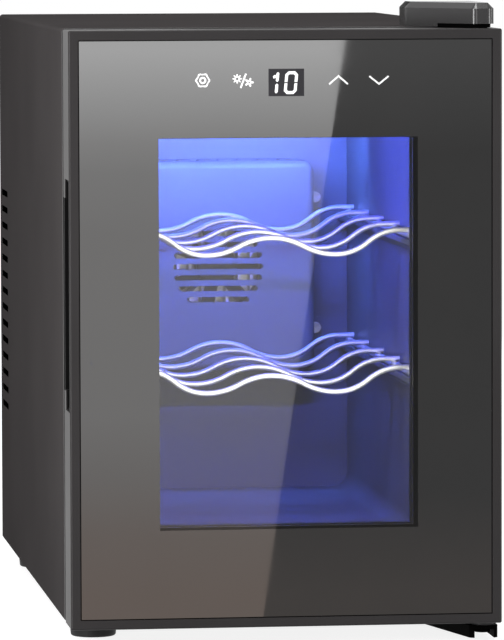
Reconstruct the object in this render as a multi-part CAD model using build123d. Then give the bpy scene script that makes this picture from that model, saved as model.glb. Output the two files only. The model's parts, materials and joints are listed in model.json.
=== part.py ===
from build123d import *
import math
import os

# Countertop wine cooler with a glass door, thermoelectric cooling and two wire shelves.
# Millimetres. The floor is Z = 0, the door glass faces -Y and the middle of the body is X = 0.

# Whole body
WIDTH = 252.0
DEPTH = 495.0  # face of the door glass to the rear rim of the casing
CASE_HEIGHT = 345.0
SHELL_SHEET = 1.0
SHELL_BEND = 2.5
BASE_SHEET = 2.0
BACK_SHEET = 2.0
BACK_RECESS = 2.6  # rear sheet lies this far inside the rear rim
REAR_FLANGE = 12.0
FRAME_LIP = 2.0  # part of the front ring that covers the edge of the shell
FRAME_DEPTH = 8.0
FRAME_EDGE = 1.2
MOUTH_ROUND = 3.0

# Side vents
VENT_COUNT = 14
VENT_PITCH = 10.65
VENT_LENGTH = 45.0
VENT_HEIGHT = 4.0
VENT_BACK_INSET = 13.0
VENT_TOP_DROP = 116.0  # first slot below the top of the casing

# Feet
FOOT_HEIGHT = 13.0
FOOT_TOP_DIAMETER = 29.0
FOOT_TIP_DIAMETER = 26.4
FOOT_ROUND = 1.5
FOOT_SIDE_INSET = 19.5
FRONT_FOOT_SETBACK = 70.0
HINGE_FOOT_GAP = 9.0  # the front foot on the hinge side stands this far behind the bracket
REAR_FOOT_INSET = 64.0
FOOT_PAD = 6.0  # foot material above its screw head
FOOT_WELL_DIAMETER = 11.0

# Cavity
SIDE_WALL = 38.0  # side of the body to the cavity
FLOOR_WALL = 42.0  # underside of the casing to the cavity
ROOF_WALL = 42.0
CAVITY_ROUND = 10.0
LINER_WALL = 2.0
REAR_FOAM = 33.0

# Door
DOOR_THICKNESS = 35.0
DOOR_GAP = 3.0
DOOR_DROP = 1.5  # door hangs below the casing
DOOR_TOP_GAP = 0.5
DOOR_BORDER = 5.6
DOOR_EDGE = 1.2
DOOR_RIM = 4.0
GLASS = 4.0
GLASS_FIT = 0.5
GLASS_EDGE = 0.4
INNER_GLASS = 4.0
SPACER_DEPTH = 16.0
SPACER_WIDTH = 8.0
SPACER_GROOVE = 1.0
SPACER_GROOVE_WIDTH = 5.4
WINDOW_SIDE = 51.8  # clear window to the side of the door
WINDOW_TOP = 62.5
WINDOW_BOTTOM = 58.5
SIGHT_STEP = 2.0  # back frame opening outside the window
BACK_FRAME_ROUND = 3.0

# Seal
GASKET_INSET = 10.0
GASKET_WIDTH = 12.0
GASKET_CLEARANCE = 0.3
GASKET_ROUND = 8.0
GASKET_INNER_ROUND = 4.0
GASKET_LIP = 1.0
DART_WIDTH = 3.0
DART_DEPTH = 4.0

# Side grip
GRIP_LENGTH = 134.0
GRIP_RISE = 126.0
GRIP_REACH = 16.0
GRIP_LIP = 1.5  # thickness of the front edge at the side of the door
GRIP_SKIN = 1.5  # door material left behind the glass
NOTCH_LENGTH = 112.0
NOTCH_REACH = 8.0  # at the back face of the door
CUP_WALL = 1.5

# Touch panel
BOARD_WIDTH = 140.0
BOARD_HEIGHT = 26.0
BOARD_SHEET = 1.6
BOARD_FIT = 0.5
KEY_GAP = 6.0  # glass to board
KEY_DROP = 29.5  # middle of the keys below the top of the door
KEY_DIAMETER = 10.0
KEY_PLACES = (-48.0, -25.0, 30.5, 54.0)
DISPLAY_WIDTH = 22.0
DISPLAY_HEIGHT = 17.0
CONTACT_GAP = 0.2

# Hinges
HINGE_INSET = 9.0  # pivot to the side of the body
HINGE_SETBACK = 16.0  # pivot behind the glass face
PIN_DIAMETER = 6.0
PIN_REACH = 11.0
PIN_TIP = 1.0
PIN_FIT = 0.05
PIN_HEAD_DIAMETER = 9.0
PIN_HEAD = 2.0
BUSH_DIAMETER = 9.6
BUSH_DEPTH = 14.0
BUSH_FLANGE_DIAMETER = 13.0
BUSH_FLANGE = 1.2
PLATE_SHEET = 2.5
CAP_HEIGHT = 14.2
CAP_WALL = 1.5
CAP_BEVEL = 3.4
CAP_NOSE = 6.2  # half width of the blunt nose round the pivot
CAP_SPAN = 47.8  # left side of the cap from the side of the body
CAP_LENGTH = 86.0  # back of the cap from the glass face
CAP_SHOULDER = 59.5  # where the slanted side starts, from the glass face
CAP_CORNER = 4.0
CAP_LIFT = 2.0  # lower edge of the cap above the door
CAP_FIT = 0.3
BRACKET_NOSE = 8.2  # half width of the bracket at the pivot
BRACKET_FRONT = 9.0  # front edge behind the glass face
BRACKET_LENGTH = 92.0
BRACKET_FLARE = 20.0  # how much wider the bracket is at its back
BRACKET_DROP = 7.3
BRACKET_CORNER = 3.0
WASHER = 2.0
WASHER_DIAMETER = 13.0
WASHER_GAP = 0.3

# Screws
SCREW_DIAMETER = 3.5
SCREW_HEAD_DIAMETER = 7.0
SCREW_HEAD = 2.2
SCREW_HEAD_EDGE = 1.1
SCREW_FIT = 0.1
SCREW_EDGE = 6.0  # screw axis from the edge of a sheet

# Shelves
SHELF_RISES = {"lower": 87.0, "upper": 168.5}  # lowest wire axis above the cavity floor
WIRE_DIAMETER = 3.4
RAIL_DIAMETER = 4.0
WIRE_COUNT = 5
SHELF_SETBACK = 34.0  # first wire behind the front of the casing
SHELF_BACK_GAP = 8.0  # last wire in front of the fan cover
WIRE_END_GAP = 2.0
WIRE_END_FLAT = 9.0
WAVE_RISE = 10.0  # middle crest above the troughs
END_RISE = 14.0  # ends of the wires above the troughs
RAIL_INSET = 3.0  # rail axis from the wire ends
RAIL_OVERHANG = 4.0
WELD = 0.4
SHELF_CLEARANCE = 0.3
LEDGE_WIDTH = 8.0
LEDGE_EDGE = 3.0
LEDGE_SLOPE = 6.0

# Cooling unit
COOLER_OFFSET = 14.5  # axis of both fans above the middle of the cavity
COVER_WIDTH = 124.0
COVER_HEIGHT = 134.0
COVER_ROOM = 5.0  # fan to the inside of the cover
COVER_WALL = 2.0
COVER_ROUND = 8.0
COVER_EDGE = 5.0
COVER_EAR = 14.0
COVER_EAR_SHEET = 3.0
COVER_EAR_RISE = 42.0
INTAKE_DIAMETER = 58.0
INTAKE_ROWS = 7
INTAKE_PITCH = 7.0
INTAKE_SLOT = 3.4
OUTLET_COUNT = 7
OUTLET_PITCH = 13.0
OUTLET_SLOT = 5.0
OUTLET_LENGTH = 20.0
COLD_SINK = 80.0
COLD_BASE = 5.0
COLD_FIN = 14.0
COLD_FIN_COUNT = 11
COLD_FIN_SHEET = 1.6
BLOCK = 42.0
BLOCK_FIT = 0.5
MODULE = 40.0
MODULE_THICKNESS = 3.8
MODULE_GROOVE = 1.0
MODULE_PLATE = 0.8
HOT_SINK = 120.0
HOT_BASE = 6.0
HOT_FIN = 42.4
HOT_FIN_COUNT = 15
HOT_FIN_SHEET = 2.0
HOT_FIN_GAP = 4.0  # fins to the fan
SINK_SCREW_SPAN = 60.0
COLD_FAN = 60.0
COLD_FAN_DEPTH = 12.0
COLD_FAN_HUB = 26.0
HOT_FAN = 92.0
HOT_FAN_DEPTH = 25.0
HOT_FAN_HUB = 36.0
FAN_RIM = 2.0  # housing wall at its thinnest
FAN_STRUTS = 4
FAN_STRUT = 3.0
FAN_POST = 5.0
FAN_POST_DIAMETER = 8.0
FAN_SHAFT = 3.0
FAN_SHAFT_SEAT = 1.5  # floor of the shaft hole
FAN_HUB_EDGE = 1.2
FAN_RUNNING_GAP = 0.6
FAN_TIP_GAP = 0.8
FAN_CORNER = 5.0
FAN_HOLE_INSET = 4.8
FAN_BLADES = 7
FAN_BLADE_SHEET = 1.4
FAN_ROOT_PITCH = 46.0
FAN_TIP_PITCH = 32.0
GUARD_WIRE = 2.4
GUARD_BOSS = 4.8
GUARD_RINGS = 5
GUARD_SPOKES = 4
GUARD_FIT = 0.4

# Rear vents
REAR_VENT_COUNT = 11
REAR_VENT_PITCH = 14.0
REAR_VENT_HEIGHT = 42.0
REAR_VENT_WIDTH = 4.0
REAR_VENT_OFFSET = 95.0  # each row of slots from the fan axis

# Electrics
PCB_WIDTH = 110.0
PCB_DEPTH = 56.0
PCB_SIDE = 30.0  # board to the inside of the casing
POST_HEIGHT = 6.0
POST_DIAMETER = 6.0
POST_INSET = 5.0
PART_MARGIN = 19.0  # first component from the end of the board
PART_GAP = 6.0
CORE_WIDTH = 32.0
CORE_DEPTH = 28.0
CORE_HEIGHT = 24.0
CORE_EDGE = 2.0
CAN_DIAMETER = 16.0
CAN_HEIGHT = 25.0
CAN_PITCH = 22.0
SPREADER_SHEET = 3.0
SPREADER_DEPTH = 36.0
SPREADER_HEIGHT = 26.0
SPREADER_FIN = 6.0
SPREADER_FIN_COUNT = 4
CONNECTOR_WIDTH = 10.0
CONNECTOR_DEPTH = 32.0
CONNECTOR_HEIGHT = 10.0
INLET_SIDE = 48.0  # middle of the inlet to the side of the body
INLET_RISE = 40.0  # middle of the inlet above the underside of the casing
INLET_WIDTH = 27.0
INLET_HEIGHT = 20.0
INLET_DEPTH = 20.0
INLET_FLANGE = 4.0
INLET_FLANGE_SHEET = 1.3
INLET_WALL = 2.0
INLET_FLOOR = 4.0
INLET_ROUND = 3.0
BLADE_WIDTH = 2.0
BLADE_HEIGHT = 4.0
BLADE_LENGTH = 12.0
BLADE_SPREAD = 7.0
BLADE_OFFSET = 3.0
LED_LENGTH = 94.0
LED_WIDTH = 16.0
LED_SETBACK = 62.0  # lens behind the front of the casing
LED_FLANGE = 3.0
LED_PROUD = 2.0
LED_LENS = 1.0
LED_EDGE = 1.4
LED_CHIP = 5.0
LED_CHIP_HEIGHT = 1.0
LED_CHIP_COUNT = 5
LED_CHIP_INSET = 10.0  # first chip from the end of its board
LED_ROOM = 4.0
LED_FIT = 0.3
CLIP_WIDTH = 24.0
CLIP_HEIGHT = 14.0
CLIP_DEPTH = 8.0
CLIP_CORNER = 4.6
CLIP_EDGE = 2.0
CLIP_SIDE = 30.0  # middle of the sensor clip to the side wall of the cavity
CLIP_SLOT = 1.6
CLIP_SLOT_LENGTH = 16.8
CLIP_SLOT_DEPTH = 4.0
CLIP_SLOT_PITCH = 3.5
CLIP_SLOT_COUNT = 3

# Planes worked out from the sizes above
OVER = 1.0  # cutters run past the faces that they open
NEAR = 0.01  # tolerance when picking edges by their place
HALF = WIDTH / 2
FRONT = -DEPTH / 2
BACK = DEPTH / 2
CASE_FRONT = FRONT + DOOR_THICKNESS + DOOR_GAP
CASE_BOTTOM = FOOT_HEIGHT
CASE_TOP = CASE_BOTTOM + CASE_HEIGHT
BASE_TOP = CASE_BOTTOM + BASE_SHEET
INSIDE = HALF - SHELL_SHEET
INSIDE_TOP = CASE_TOP - SHELL_SHEET
INSIDE_BEND = SHELL_BEND - SHELL_SHEET
SHELL_FRONT = CASE_FRONT + FRAME_LIP
RING_BACK = CASE_FRONT + FRAME_DEPTH
PANEL_BACK = BACK - BACK_RECESS
PANEL_FRONT = PANEL_BACK - BACK_SHEET
HOT_FAN_FRONT = PANEL_FRONT - HOT_FAN_DEPTH
FIN_TIP = HOT_FAN_FRONT - HOT_FIN_GAP
FOAM_BACK = FIN_TIP - HOT_FIN - HOT_BASE
LINER_BACK = FOAM_BACK - REAR_FOAM
CAVITY_BACK = LINER_BACK - LINER_WALL
CAVITY_HALF = HALF - SIDE_WALL
CAVITY_FLOOR = CASE_BOTTOM + FLOOR_WALL
CAVITY_TOP = CASE_TOP - ROOF_WALL
CAVITY_HEIGHT = CAVITY_TOP - CAVITY_FLOOR
CAVITY_MIDDLE = (CAVITY_TOP + CAVITY_FLOOR) / 2
DOOR_BACK = FRONT + DOOR_THICKNESS
DOOR_BOTTOM = CASE_BOTTOM - DOOR_DROP
DOOR_TOP = CASE_TOP - DOOR_TOP_GAP
GLASS_BACK = FRONT + GLASS
PANE_FRONT = GLASS_BACK + SPACER_DEPTH
PANE_BACK = PANE_FRONT + INNER_GLASS
WINDOW_HALF = HALF - WINDOW_SIDE
WINDOW_FLOOR = DOOR_BOTTOM + WINDOW_BOTTOM
WINDOW_CEILING = DOOR_TOP - WINDOW_TOP
GRIP_FLOOR = DOOR_BOTTOM + GRIP_RISE
GRIP_CEILING = GRIP_FLOOR + GRIP_LENGTH
NOTCH_FLOOR = GRIP_FLOOR + (GRIP_LENGTH - NOTCH_LENGTH) / 2
NOTCH_CEILING = NOTCH_FLOOR + NOTCH_LENGTH
KEY_LEVEL = DOOR_TOP - KEY_DROP
PIVOT_X = HALF - HINGE_INSET
PIVOT_Y = FRONT + HINGE_SETBACK
PLATE_TOP = CASE_TOP + PLATE_SHEET
BRACKET_TOP = DOOR_BOTTOM - WASHER_GAP - WASHER
COOLER_LEVEL = CAVITY_MIDDLE + COOLER_OFFSET
COLD_FIN_TIP = CAVITY_BACK - COLD_BASE - COLD_FIN
COVER_FRONT = COLD_FIN_TIP - COLD_FAN_DEPTH - COVER_ROOM - COVER_WALL
COLD_FAN_BORE = COLD_FAN - 2 * FAN_RIM
HOT_FAN_BORE = HOT_FAN - 2 * FAN_RIM
WIRE_FRONT = CASE_FRONT + SHELF_SETBACK
WIRE_PITCH = (COVER_FRONT - SHELF_BACK_GAP - WIRE_FRONT) / (WIRE_COUNT - 1)
WIRE_END = CAVITY_HALF - WIRE_END_GAP
WAVE_PITCH = WIRE_END - WIRE_END_FLAT
RAIL_X = WIRE_END - RAIL_INSET
BOARD_FRONT = GLASS_BACK + KEY_GAP
INLET_X = HALF - INLET_SIDE
INLET_LEVEL = CASE_BOTTOM + INLET_RISE
PCB_LEFT = PCB_SIDE - INSIDE
PCB_MIDDLE = (FOAM_BACK + PANEL_FRONT) / 2
PCB_LOW = BASE_TOP + POST_HEIGHT
LED_Y = CASE_FRONT + LED_SETBACK
CLIP_X = CAVITY_HALF - CLIP_SIDE
CLIP_LEVEL = (COOLER_LEVEL + COVER_HEIGHT / 2 + CAVITY_TOP) / 2
SCREW_HOLE = SCREW_DIAMETER + 2 * SCREW_FIT


def block(x, y, z):
    """Box between (low, high) pairs."""
    size = Box(x[1] - x[0], y[1] - y[0], z[1] - z[0])
    return Pos((x[0] + x[1]) / 2, (y[0] + y[1]) / 2, (z[0] + z[1]) / 2) * size


def along_y(outline, y_low, y_high):
    """Outline drawn in X and Z, extruded between two depths."""
    plane = Plane(origin=(0, y_high, 0), x_dir=(1, 0, 0), z_dir=(0, -1, 0))
    return extrude(plane * outline, amount=y_high - y_low)


def along_z(outline, z_low, z_high):
    """Outline drawn in plan, extruded between two heights."""
    return extrude(Pos(0, 0, z_low) * outline, amount=z_high - z_low)


def rod_y(x, z, diameter, y_low, y_high):
    """Round bar along the depth."""
    return along_y(Pos(x, z) * Circle(diameter / 2), y_low, y_high)


def rod_z(x, y, diameter, z_low, z_high):
    """Round bar along the height."""
    return along_z(Pos(x, y) * Circle(diameter / 2), z_low, z_high)


def rounded(width, height, radius, x=0.0, z=0.0):
    """Rectangle with round corners, placed by its middle."""
    return Pos(x, z) * RectangleRounded(width, height, radius)


def edges_at(shape, axis, value):
    """Edges of a shape that lie flat at one place along an axis."""
    return shape.edges().filter_by_position(axis, value - NEAR, value + NEAR)


def cavity_prism(grow, y_low, y_high):
    """Cross section of the cavity, grown all round."""
    width = 2 * (CAVITY_HALF + grow)
    height = CAVITY_HEIGHT + 2 * grow
    return along_y(rounded(width, height, CAVITY_ROUND + grow, 0, CAVITY_MIDDLE), y_low, y_high)


def case_prism(half, z_low, z_high, bend, y_low, y_high):
    """Casing section with its two bent top edges."""
    body = block((-half, half), (y_low, y_high), (z_low, z_high))
    return fillet(body.edges().filter_by(Axis.Y).group_by(Axis.Z)[-1], bend)


def door_ring(inset, y_low, y_high, corner=None):
    """Door outline drawn in by an inset, as a full plate."""
    width = WIDTH - 2 * inset
    height = DOOR_TOP - DOOR_BOTTOM - 2 * inset
    middle = (DOOR_TOP + DOOR_BOTTOM) / 2
    outline = Pos(0, middle) * Rectangle(width, height)
    if corner:
        outline = rounded(width, height, corner, 0, middle)
    return along_y(outline, y_low, y_high)


def window_prism(grow, y_low, y_high):
    """Clear window of the door, grown all round."""
    half = WINDOW_HALF + grow
    return block((-half, half), (y_low, y_high), (WINDOW_FLOOR - grow, WINDOW_CEILING + grow))


def screw_y(x, z, seat, tip):
    """Pan head screw along the depth: the head lies behind its seat, the shank runs to the tip."""
    head = rod_y(x, z, SCREW_HEAD_DIAMETER, seat, seat + SCREW_HEAD)
    head = fillet(edges_at(head, Axis.Y, seat + SCREW_HEAD), SCREW_HEAD_EDGE)
    return head + rod_y(x, z, SCREW_DIAMETER, tip, seat)


def screw_z(x, y, seat, tip):
    """Pan head screw along the height: the head lies away from the tip."""
    shank = rod_z(x, y, SCREW_DIAMETER, min(seat, tip), max(seat, tip))
    if tip < seat:
        head = rod_z(x, y, SCREW_HEAD_DIAMETER, seat, seat + SCREW_HEAD)
        return shank + fillet(edges_at(head, Axis.Z, seat + SCREW_HEAD), SCREW_HEAD_EDGE)
    head = rod_z(x, y, SCREW_HEAD_DIAMETER, seat - SCREW_HEAD, seat)
    return shank + fillet(edges_at(head, Axis.Z, seat - SCREW_HEAD), SCREW_HEAD_EDGE)


def group(solids):
    """Several separate solids in one node."""
    return Compound(children=[solid.solid() for solid in solids])


# Places that several pieces share
def foot_places():
    x = HALF - FOOT_SIDE_INSET
    hinge_side = FRONT + BRACKET_LENGTH + HINGE_FOOT_GAP + FOOT_TOP_DIAMETER / 2
    rear = BACK - REAR_FOOT_INSET
    return [(-x, FRONT + FRONT_FOOT_SETBACK), (x, hinge_side), (-x, rear), (x, rear)]


def back_screw_places():
    x = INSIDE - SCREW_EDGE
    low = CAVITY_FLOOR
    high = INSIDE_TOP - SCREW_EDGE
    return [(side * x, level) for side in (-1, 1) for level in (low, (low + high) / 2, high)]


def plate_screw_places():
    back = FRONT + CAP_LENGTH - SCREW_EDGE - CAP_WALL - CAP_FIT
    left = HALF - CAP_SPAN + SCREW_EDGE + CAP_WALL + CAP_FIT
    right = PIVOT_X
    front = (back + CASE_FRONT) / 2
    return [(left, back), (right, back), (right, front)]


def bracket_screw_places():
    back = FRONT + BRACKET_LENGTH - SCREW_EDGE
    left = PIVOT_X - BRACKET_NOSE - BRACKET_FLARE + SCREW_EDGE + PLATE_SHEET
    front = (back + CASE_FRONT) / 2
    return [(left, back), (PIVOT_X, back), (PIVOT_X, front)]


def fan_screw_places(size):
    reach = size / 2 - FAN_HOLE_INSET
    return [(side * reach, COOLER_LEVEL + rise * reach) for side in (-1, 1) for rise in (-1, 1)]


def sink_screw_places():
    reach = SINK_SCREW_SPAN / 2
    return [(side * reach, COOLER_LEVEL + rise * reach) for side in (-1, 1) for rise in (-1, 1)]


def ear_places():
    x = COVER_WIDTH / 2 + COVER_EAR / 2 - COVER_WALL
    return [(side * x, COOLER_LEVEL + rise * COVER_EAR_RISE) for side in (-1, 1) for rise in (-1, 1)]


def post_places():
    y = PCB_DEPTH / 2 - POST_INSET
    columns = (PCB_LEFT + POST_INSET, PCB_LEFT + PCB_WIDTH - POST_INSET)
    return [(x, PCB_MIDDLE + end * y) for x in columns for end in (-1, 1)]


# Casing
def outer_shell():
    shell = case_prism(HALF, CASE_BOTTOM, CASE_TOP, SHELL_BEND, SHELL_FRONT, BACK)
    shell -= case_prism(INSIDE, CASE_BOTTOM - OVER, INSIDE_TOP, INSIDE_BEND, SHELL_FRONT - OVER, BACK + OVER)
    flange_front = PANEL_FRONT - SHELL_SHEET
    flange = case_prism(INSIDE, BASE_TOP, INSIDE_TOP, INSIDE_BEND, flange_front, PANEL_FRONT)
    flange -= block(
        (REAR_FLANGE - INSIDE, INSIDE - REAR_FLANGE),
        (flange_front - OVER, BACK),
        (CASE_BOTTOM, INSIDE_TOP - REAR_FLANGE),
    )
    shell += flange
    slot_y = BACK - VENT_BACK_INSET - VENT_LENGTH / 2
    top_slot = CASE_TOP - VENT_TOP_DROP
    for row in range(VENT_COUNT):
        slot = Plane.YZ * Pos(slot_y, top_slot - row * VENT_PITCH) * SlotOverall(VENT_LENGTH, VENT_HEIGHT)
        shell -= extrude(slot, amount=HALF + OVER, both=True)
    for x, z in back_screw_places():
        shell -= rod_y(x, z, SCREW_HOLE, flange_front - OVER, PANEL_FRONT + OVER)
    for x, y in plate_screw_places():
        shell -= rod_z(x, y, SCREW_HOLE, INSIDE_TOP - OVER, CASE_TOP + OVER)
    return shell


def bracket_outline(inset=0.0):
    """Plan of the lower bracket: round nose below the pivot, wider towards the back."""
    left = PIVOT_X - BRACKET_NOSE + inset
    right = PIVOT_X + BRACKET_NOSE - inset
    front = FRONT + BRACKET_FRONT
    back = FRONT + BRACKET_LENGTH
    return make_face(
        Polyline((left, front), (right, front), (right, back), (left - BRACKET_FLARE, back), close=True)
    )


def base_panel():
    panel = block((-INSIDE, INSIDE), (SHELL_FRONT, PANEL_BACK), (CASE_BOTTOM, BASE_TOP))
    pad = along_z(bracket_outline(PLATE_SHEET), BRACKET_TOP, CASE_BOTTOM)
    pad -= block((0, WIDTH), (FRONT, SHELL_FRONT), (0, CASE_TOP))
    panel += pad
    for x, y in foot_places():
        panel -= rod_z(x, y, SCREW_HOLE, CASE_BOTTOM - OVER, BASE_TOP + OVER)
    for x, y in bracket_screw_places():
        panel -= rod_z(x, y, SCREW_HOLE, BRACKET_TOP - OVER, BASE_TOP + OVER)
    return panel


def back_panel():
    panel = case_prism(INSIDE, BASE_TOP, INSIDE_TOP, INSIDE_BEND, PANEL_FRONT, PANEL_BACK)
    panel -= rod_y(0, COOLER_LEVEL, HOT_FAN_BORE, PANEL_FRONT - OVER, PANEL_BACK + OVER)
    panel -= inlet_prism(0, PANEL_FRONT - OVER, PANEL_BACK + OVER)
    for column in range(REAR_VENT_COUNT):
        x = (column - (REAR_VENT_COUNT - 1) / 2) * REAR_VENT_PITCH
        for side in (-1, 1):
            slot = Rot(0, 0, 90) * SlotOverall(REAR_VENT_HEIGHT, REAR_VENT_WIDTH)
            slot = Pos(x, COOLER_LEVEL + side * REAR_VENT_OFFSET) * slot
            panel -= along_y(slot, PANEL_FRONT - OVER, PANEL_BACK + OVER)
    for x, z in back_screw_places() + fan_screw_places(HOT_FAN):
        panel -= rod_y(x, z, SCREW_HOLE, PANEL_FRONT - OVER, PANEL_BACK + OVER)
    return panel


def front_frame():
    """Moulded ring round the mouth of the cavity."""
    lip = case_prism(HALF, CASE_BOTTOM, CASE_TOP, SHELL_BEND, CASE_FRONT, SHELL_FRONT)
    lip = fillet(edges_at(lip, Axis.Y, CASE_FRONT), FRAME_EDGE)
    ring = lip + case_prism(INSIDE, BASE_TOP, INSIDE_TOP, INSIDE_BEND, SHELL_FRONT, RING_BACK)
    ring -= cavity_prism(0, CASE_FRONT - OVER, RING_BACK + OVER)
    mouth = edges_at(ring, Axis.Y, CASE_FRONT)
    inner = [edge for edge in mouth if abs(edge.center().X) < CAVITY_HALF + OVER]
    inner = [edge for edge in inner if abs(edge.center().Z - CAVITY_MIDDLE) < CAVITY_HEIGHT / 2 + OVER]
    return fillet(inner, MOUTH_ROUND)


def rail_level(shelf):
    """Height of the rail axis of one shelf."""
    wire_end = CAVITY_FLOOR + SHELF_RISES[shelf] + END_RISE
    return wire_end - WIRE_DIAMETER / 2 - RAIL_DIAMETER / 2 + WELD


def ledge(shelf, side):
    """Strip with a sloping underside, set on the side wall, that carries a shelf rail."""
    top = rail_level(shelf) - RAIL_DIAMETER / 2 - SHELF_CLEARANCE
    wall = CAVITY_HALF
    tip = CAVITY_HALF - LEDGE_WIDTH
    outline = make_face(
        Polyline(
            (side * wall, top),
            (side * tip, top),
            (side * tip, top - LEDGE_EDGE),
            (side * wall, top - LEDGE_EDGE - LEDGE_SLOPE),
            close=True,
        )
    )
    return along_y(outline, RING_BACK, CAVITY_BACK)


def shelf_ledges():
    return group([ledge(shelf, side) for shelf in SHELF_RISES for side in (-1, 1)])


def led_prism(grow, z_low, z_high):
    """Plan of the lamp opening in the ceiling, grown all round."""
    half = LED_LENGTH / 2 + grow
    depth = LED_WIDTH / 2 + grow
    return block((-half, half), (LED_Y - depth, LED_Y + depth), (z_low, z_high))


def liner():
    tub = cavity_prism(LINER_WALL, RING_BACK, LINER_BACK)
    tub -= cavity_prism(0, RING_BACK - OVER, CAVITY_BACK)
    opening = BLOCK + 2 * BLOCK_FIT
    tub -= along_y(Pos(0, COOLER_LEVEL) * Rectangle(opening, opening), CAVITY_BACK - OVER, LINER_BACK + OVER)
    tub -= led_prism(LED_FIT, CAVITY_TOP - OVER, CAVITY_TOP + LINER_WALL + OVER)
    for x, z in sink_screw_places():
        tub -= rod_y(x, z, SCREW_HOLE, CAVITY_BACK - OVER, LINER_BACK + OVER)
    return tub


def insulation():
    foam = case_prism(INSIDE, BASE_TOP, INSIDE_TOP, INSIDE_BEND, RING_BACK, FOAM_BACK)
    foam -= cavity_prism(LINER_WALL, RING_BACK - OVER, LINER_BACK)
    opening = BLOCK + 2 * BLOCK_FIT
    foam -= along_y(Pos(0, COOLER_LEVEL) * Rectangle(opening, opening), LINER_BACK - OVER, FOAM_BACK + OVER)
    foam -= led_prism(LED_FIT, CAVITY_TOP, CAVITY_TOP + LINER_WALL + LED_ROOM)
    for x, z in sink_screw_places():
        foam -= rod_y(x, z, SCREW_HOLE, LINER_BACK - OVER, FOAM_BACK + OVER)
    return foam


def feet():
    places = foot_places()
    foot = Pos(0, 0, FOOT_HEIGHT / 2) * Cone(FOOT_TIP_DIAMETER / 2, FOOT_TOP_DIAMETER / 2, FOOT_HEIGHT)
    foot = fillet(edges_at(foot, Axis.Z, 0), FOOT_ROUND)
    foot -= rod_z(0, 0, FOOT_WELL_DIAMETER, -OVER, FOOT_HEIGHT - FOOT_PAD)
    foot -= rod_z(0, 0, SCREW_HOLE, 0, FOOT_HEIGHT + OVER)
    return group([Pos(x, y, 0) * foot for x, y in places])


def foot_screws():
    return group([screw_z(x, y, FOOT_HEIGHT - FOOT_PAD, BASE_TOP) for x, y in foot_places()])


def back_panel_screws():
    tip = PANEL_FRONT - SHELL_SHEET
    return group([screw_y(x, z, PANEL_BACK, tip) for x, z in back_screw_places()])


# Hinges
def cap_outline(inset):
    """Plan of the hinge cover: a blunt nose round the pivot, slanted side, square back."""
    left = HALF - CAP_SPAN
    right = PIVOT_X + CAP_NOSE
    back = FRONT + CAP_LENGTH
    nose_left = PIVOT_X - CAP_NOSE
    nose_front = PIVOT_Y - CAP_NOSE
    outline = make_face(
        Polyline(
            (left, back),
            (left, FRONT + CAP_SHOULDER),
            (nose_left, nose_front),
            (right, nose_front),
            (right, back),
            close=True,
        )
    )
    if inset:
        outline = offset(outline, -inset, kind=Kind.INTERSECTION)
    return fillet(outline.vertices(), CAP_CORNER - inset)


def cap_solid(inset, z_low, z_high, bevel):
    solid = along_z(cap_outline(inset), z_low, z_high)
    return chamfer(edges_at(solid, Axis.Z, z_high), bevel)


def hinge_cap():
    top = CASE_TOP + CAP_HEIGHT
    cap = cap_solid(0, CASE_TOP, top, CAP_BEVEL)
    cap -= cap_solid(CAP_WALL, CASE_TOP - OVER, top - CAP_WALL, CAP_BEVEL - CAP_WALL)
    cap -= block((0, WIDTH), (FRONT - OVER, CASE_FRONT), (CASE_TOP - OVER, CASE_TOP + CAP_LIFT))
    return cap


def top_hinge_plate():
    plate = along_z(cap_outline(CAP_WALL + CAP_FIT), CASE_TOP, PLATE_TOP)
    plate -= rod_z(PIVOT_X, PIVOT_Y, PIN_DIAMETER, CASE_TOP - OVER, PLATE_TOP + OVER)
    for x, y in plate_screw_places():
        plate -= rod_z(x, y, SCREW_HOLE, CASE_TOP - OVER, PLATE_TOP + OVER)
    return plate


def top_hinge_pin():
    tip = DOOR_TOP - PIN_REACH
    pin = rod_z(PIVOT_X, PIVOT_Y, PIN_DIAMETER, tip, PLATE_TOP)
    pin = chamfer(edges_at(pin, Axis.Z, tip), PIN_TIP)
    return pin + rod_z(PIVOT_X, PIVOT_Y, PIN_HEAD_DIAMETER, PLATE_TOP, PLATE_TOP + PIN_HEAD)


def top_hinge_screws():
    return group([screw_z(x, y, PLATE_TOP, INSIDE_TOP) for x, y in plate_screw_places()])


def bottom_hinge_bracket():
    low = BRACKET_TOP - BRACKET_DROP
    outer = along_z(bracket_outline(), low, BRACKET_TOP)
    outer = fillet(outer.edges().filter_by(Axis.Z).group_by(Axis.Y)[0], BRACKET_CORNER)
    inner = along_z(bracket_outline(PLATE_SHEET), low - OVER, BRACKET_TOP - PLATE_SHEET)
    run = block((0, WIDTH), (FRONT, FRONT + BRACKET_FRONT + PLATE_SHEET), (0, BRACKET_TOP - PLATE_SHEET))
    run &= along_z(bracket_outline(PLATE_SHEET), 0, BRACKET_TOP)
    bracket = outer - inner - run
    bracket -= rod_z(PIVOT_X, PIVOT_Y, PIN_DIAMETER, low, BRACKET_TOP + OVER)
    for x, y in bracket_screw_places():
        bracket -= rod_z(x, y, SCREW_HOLE, low, BRACKET_TOP + OVER)
    return bracket


def bottom_hinge_pin():
    seat = BRACKET_TOP - PLATE_SHEET
    tip = DOOR_BOTTOM + PIN_REACH
    pin = rod_z(PIVOT_X, PIVOT_Y, PIN_DIAMETER, seat, tip)
    pin = chamfer(edges_at(pin, Axis.Z, tip), PIN_TIP)
    return pin + rod_z(PIVOT_X, PIVOT_Y, PIN_HEAD_DIAMETER, seat - PIN_HEAD, seat)


def bottom_hinge_screws():
    return group([screw_z(x, y, BRACKET_TOP - PLATE_SHEET, BASE_TOP) for x, y in bracket_screw_places()])


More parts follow.
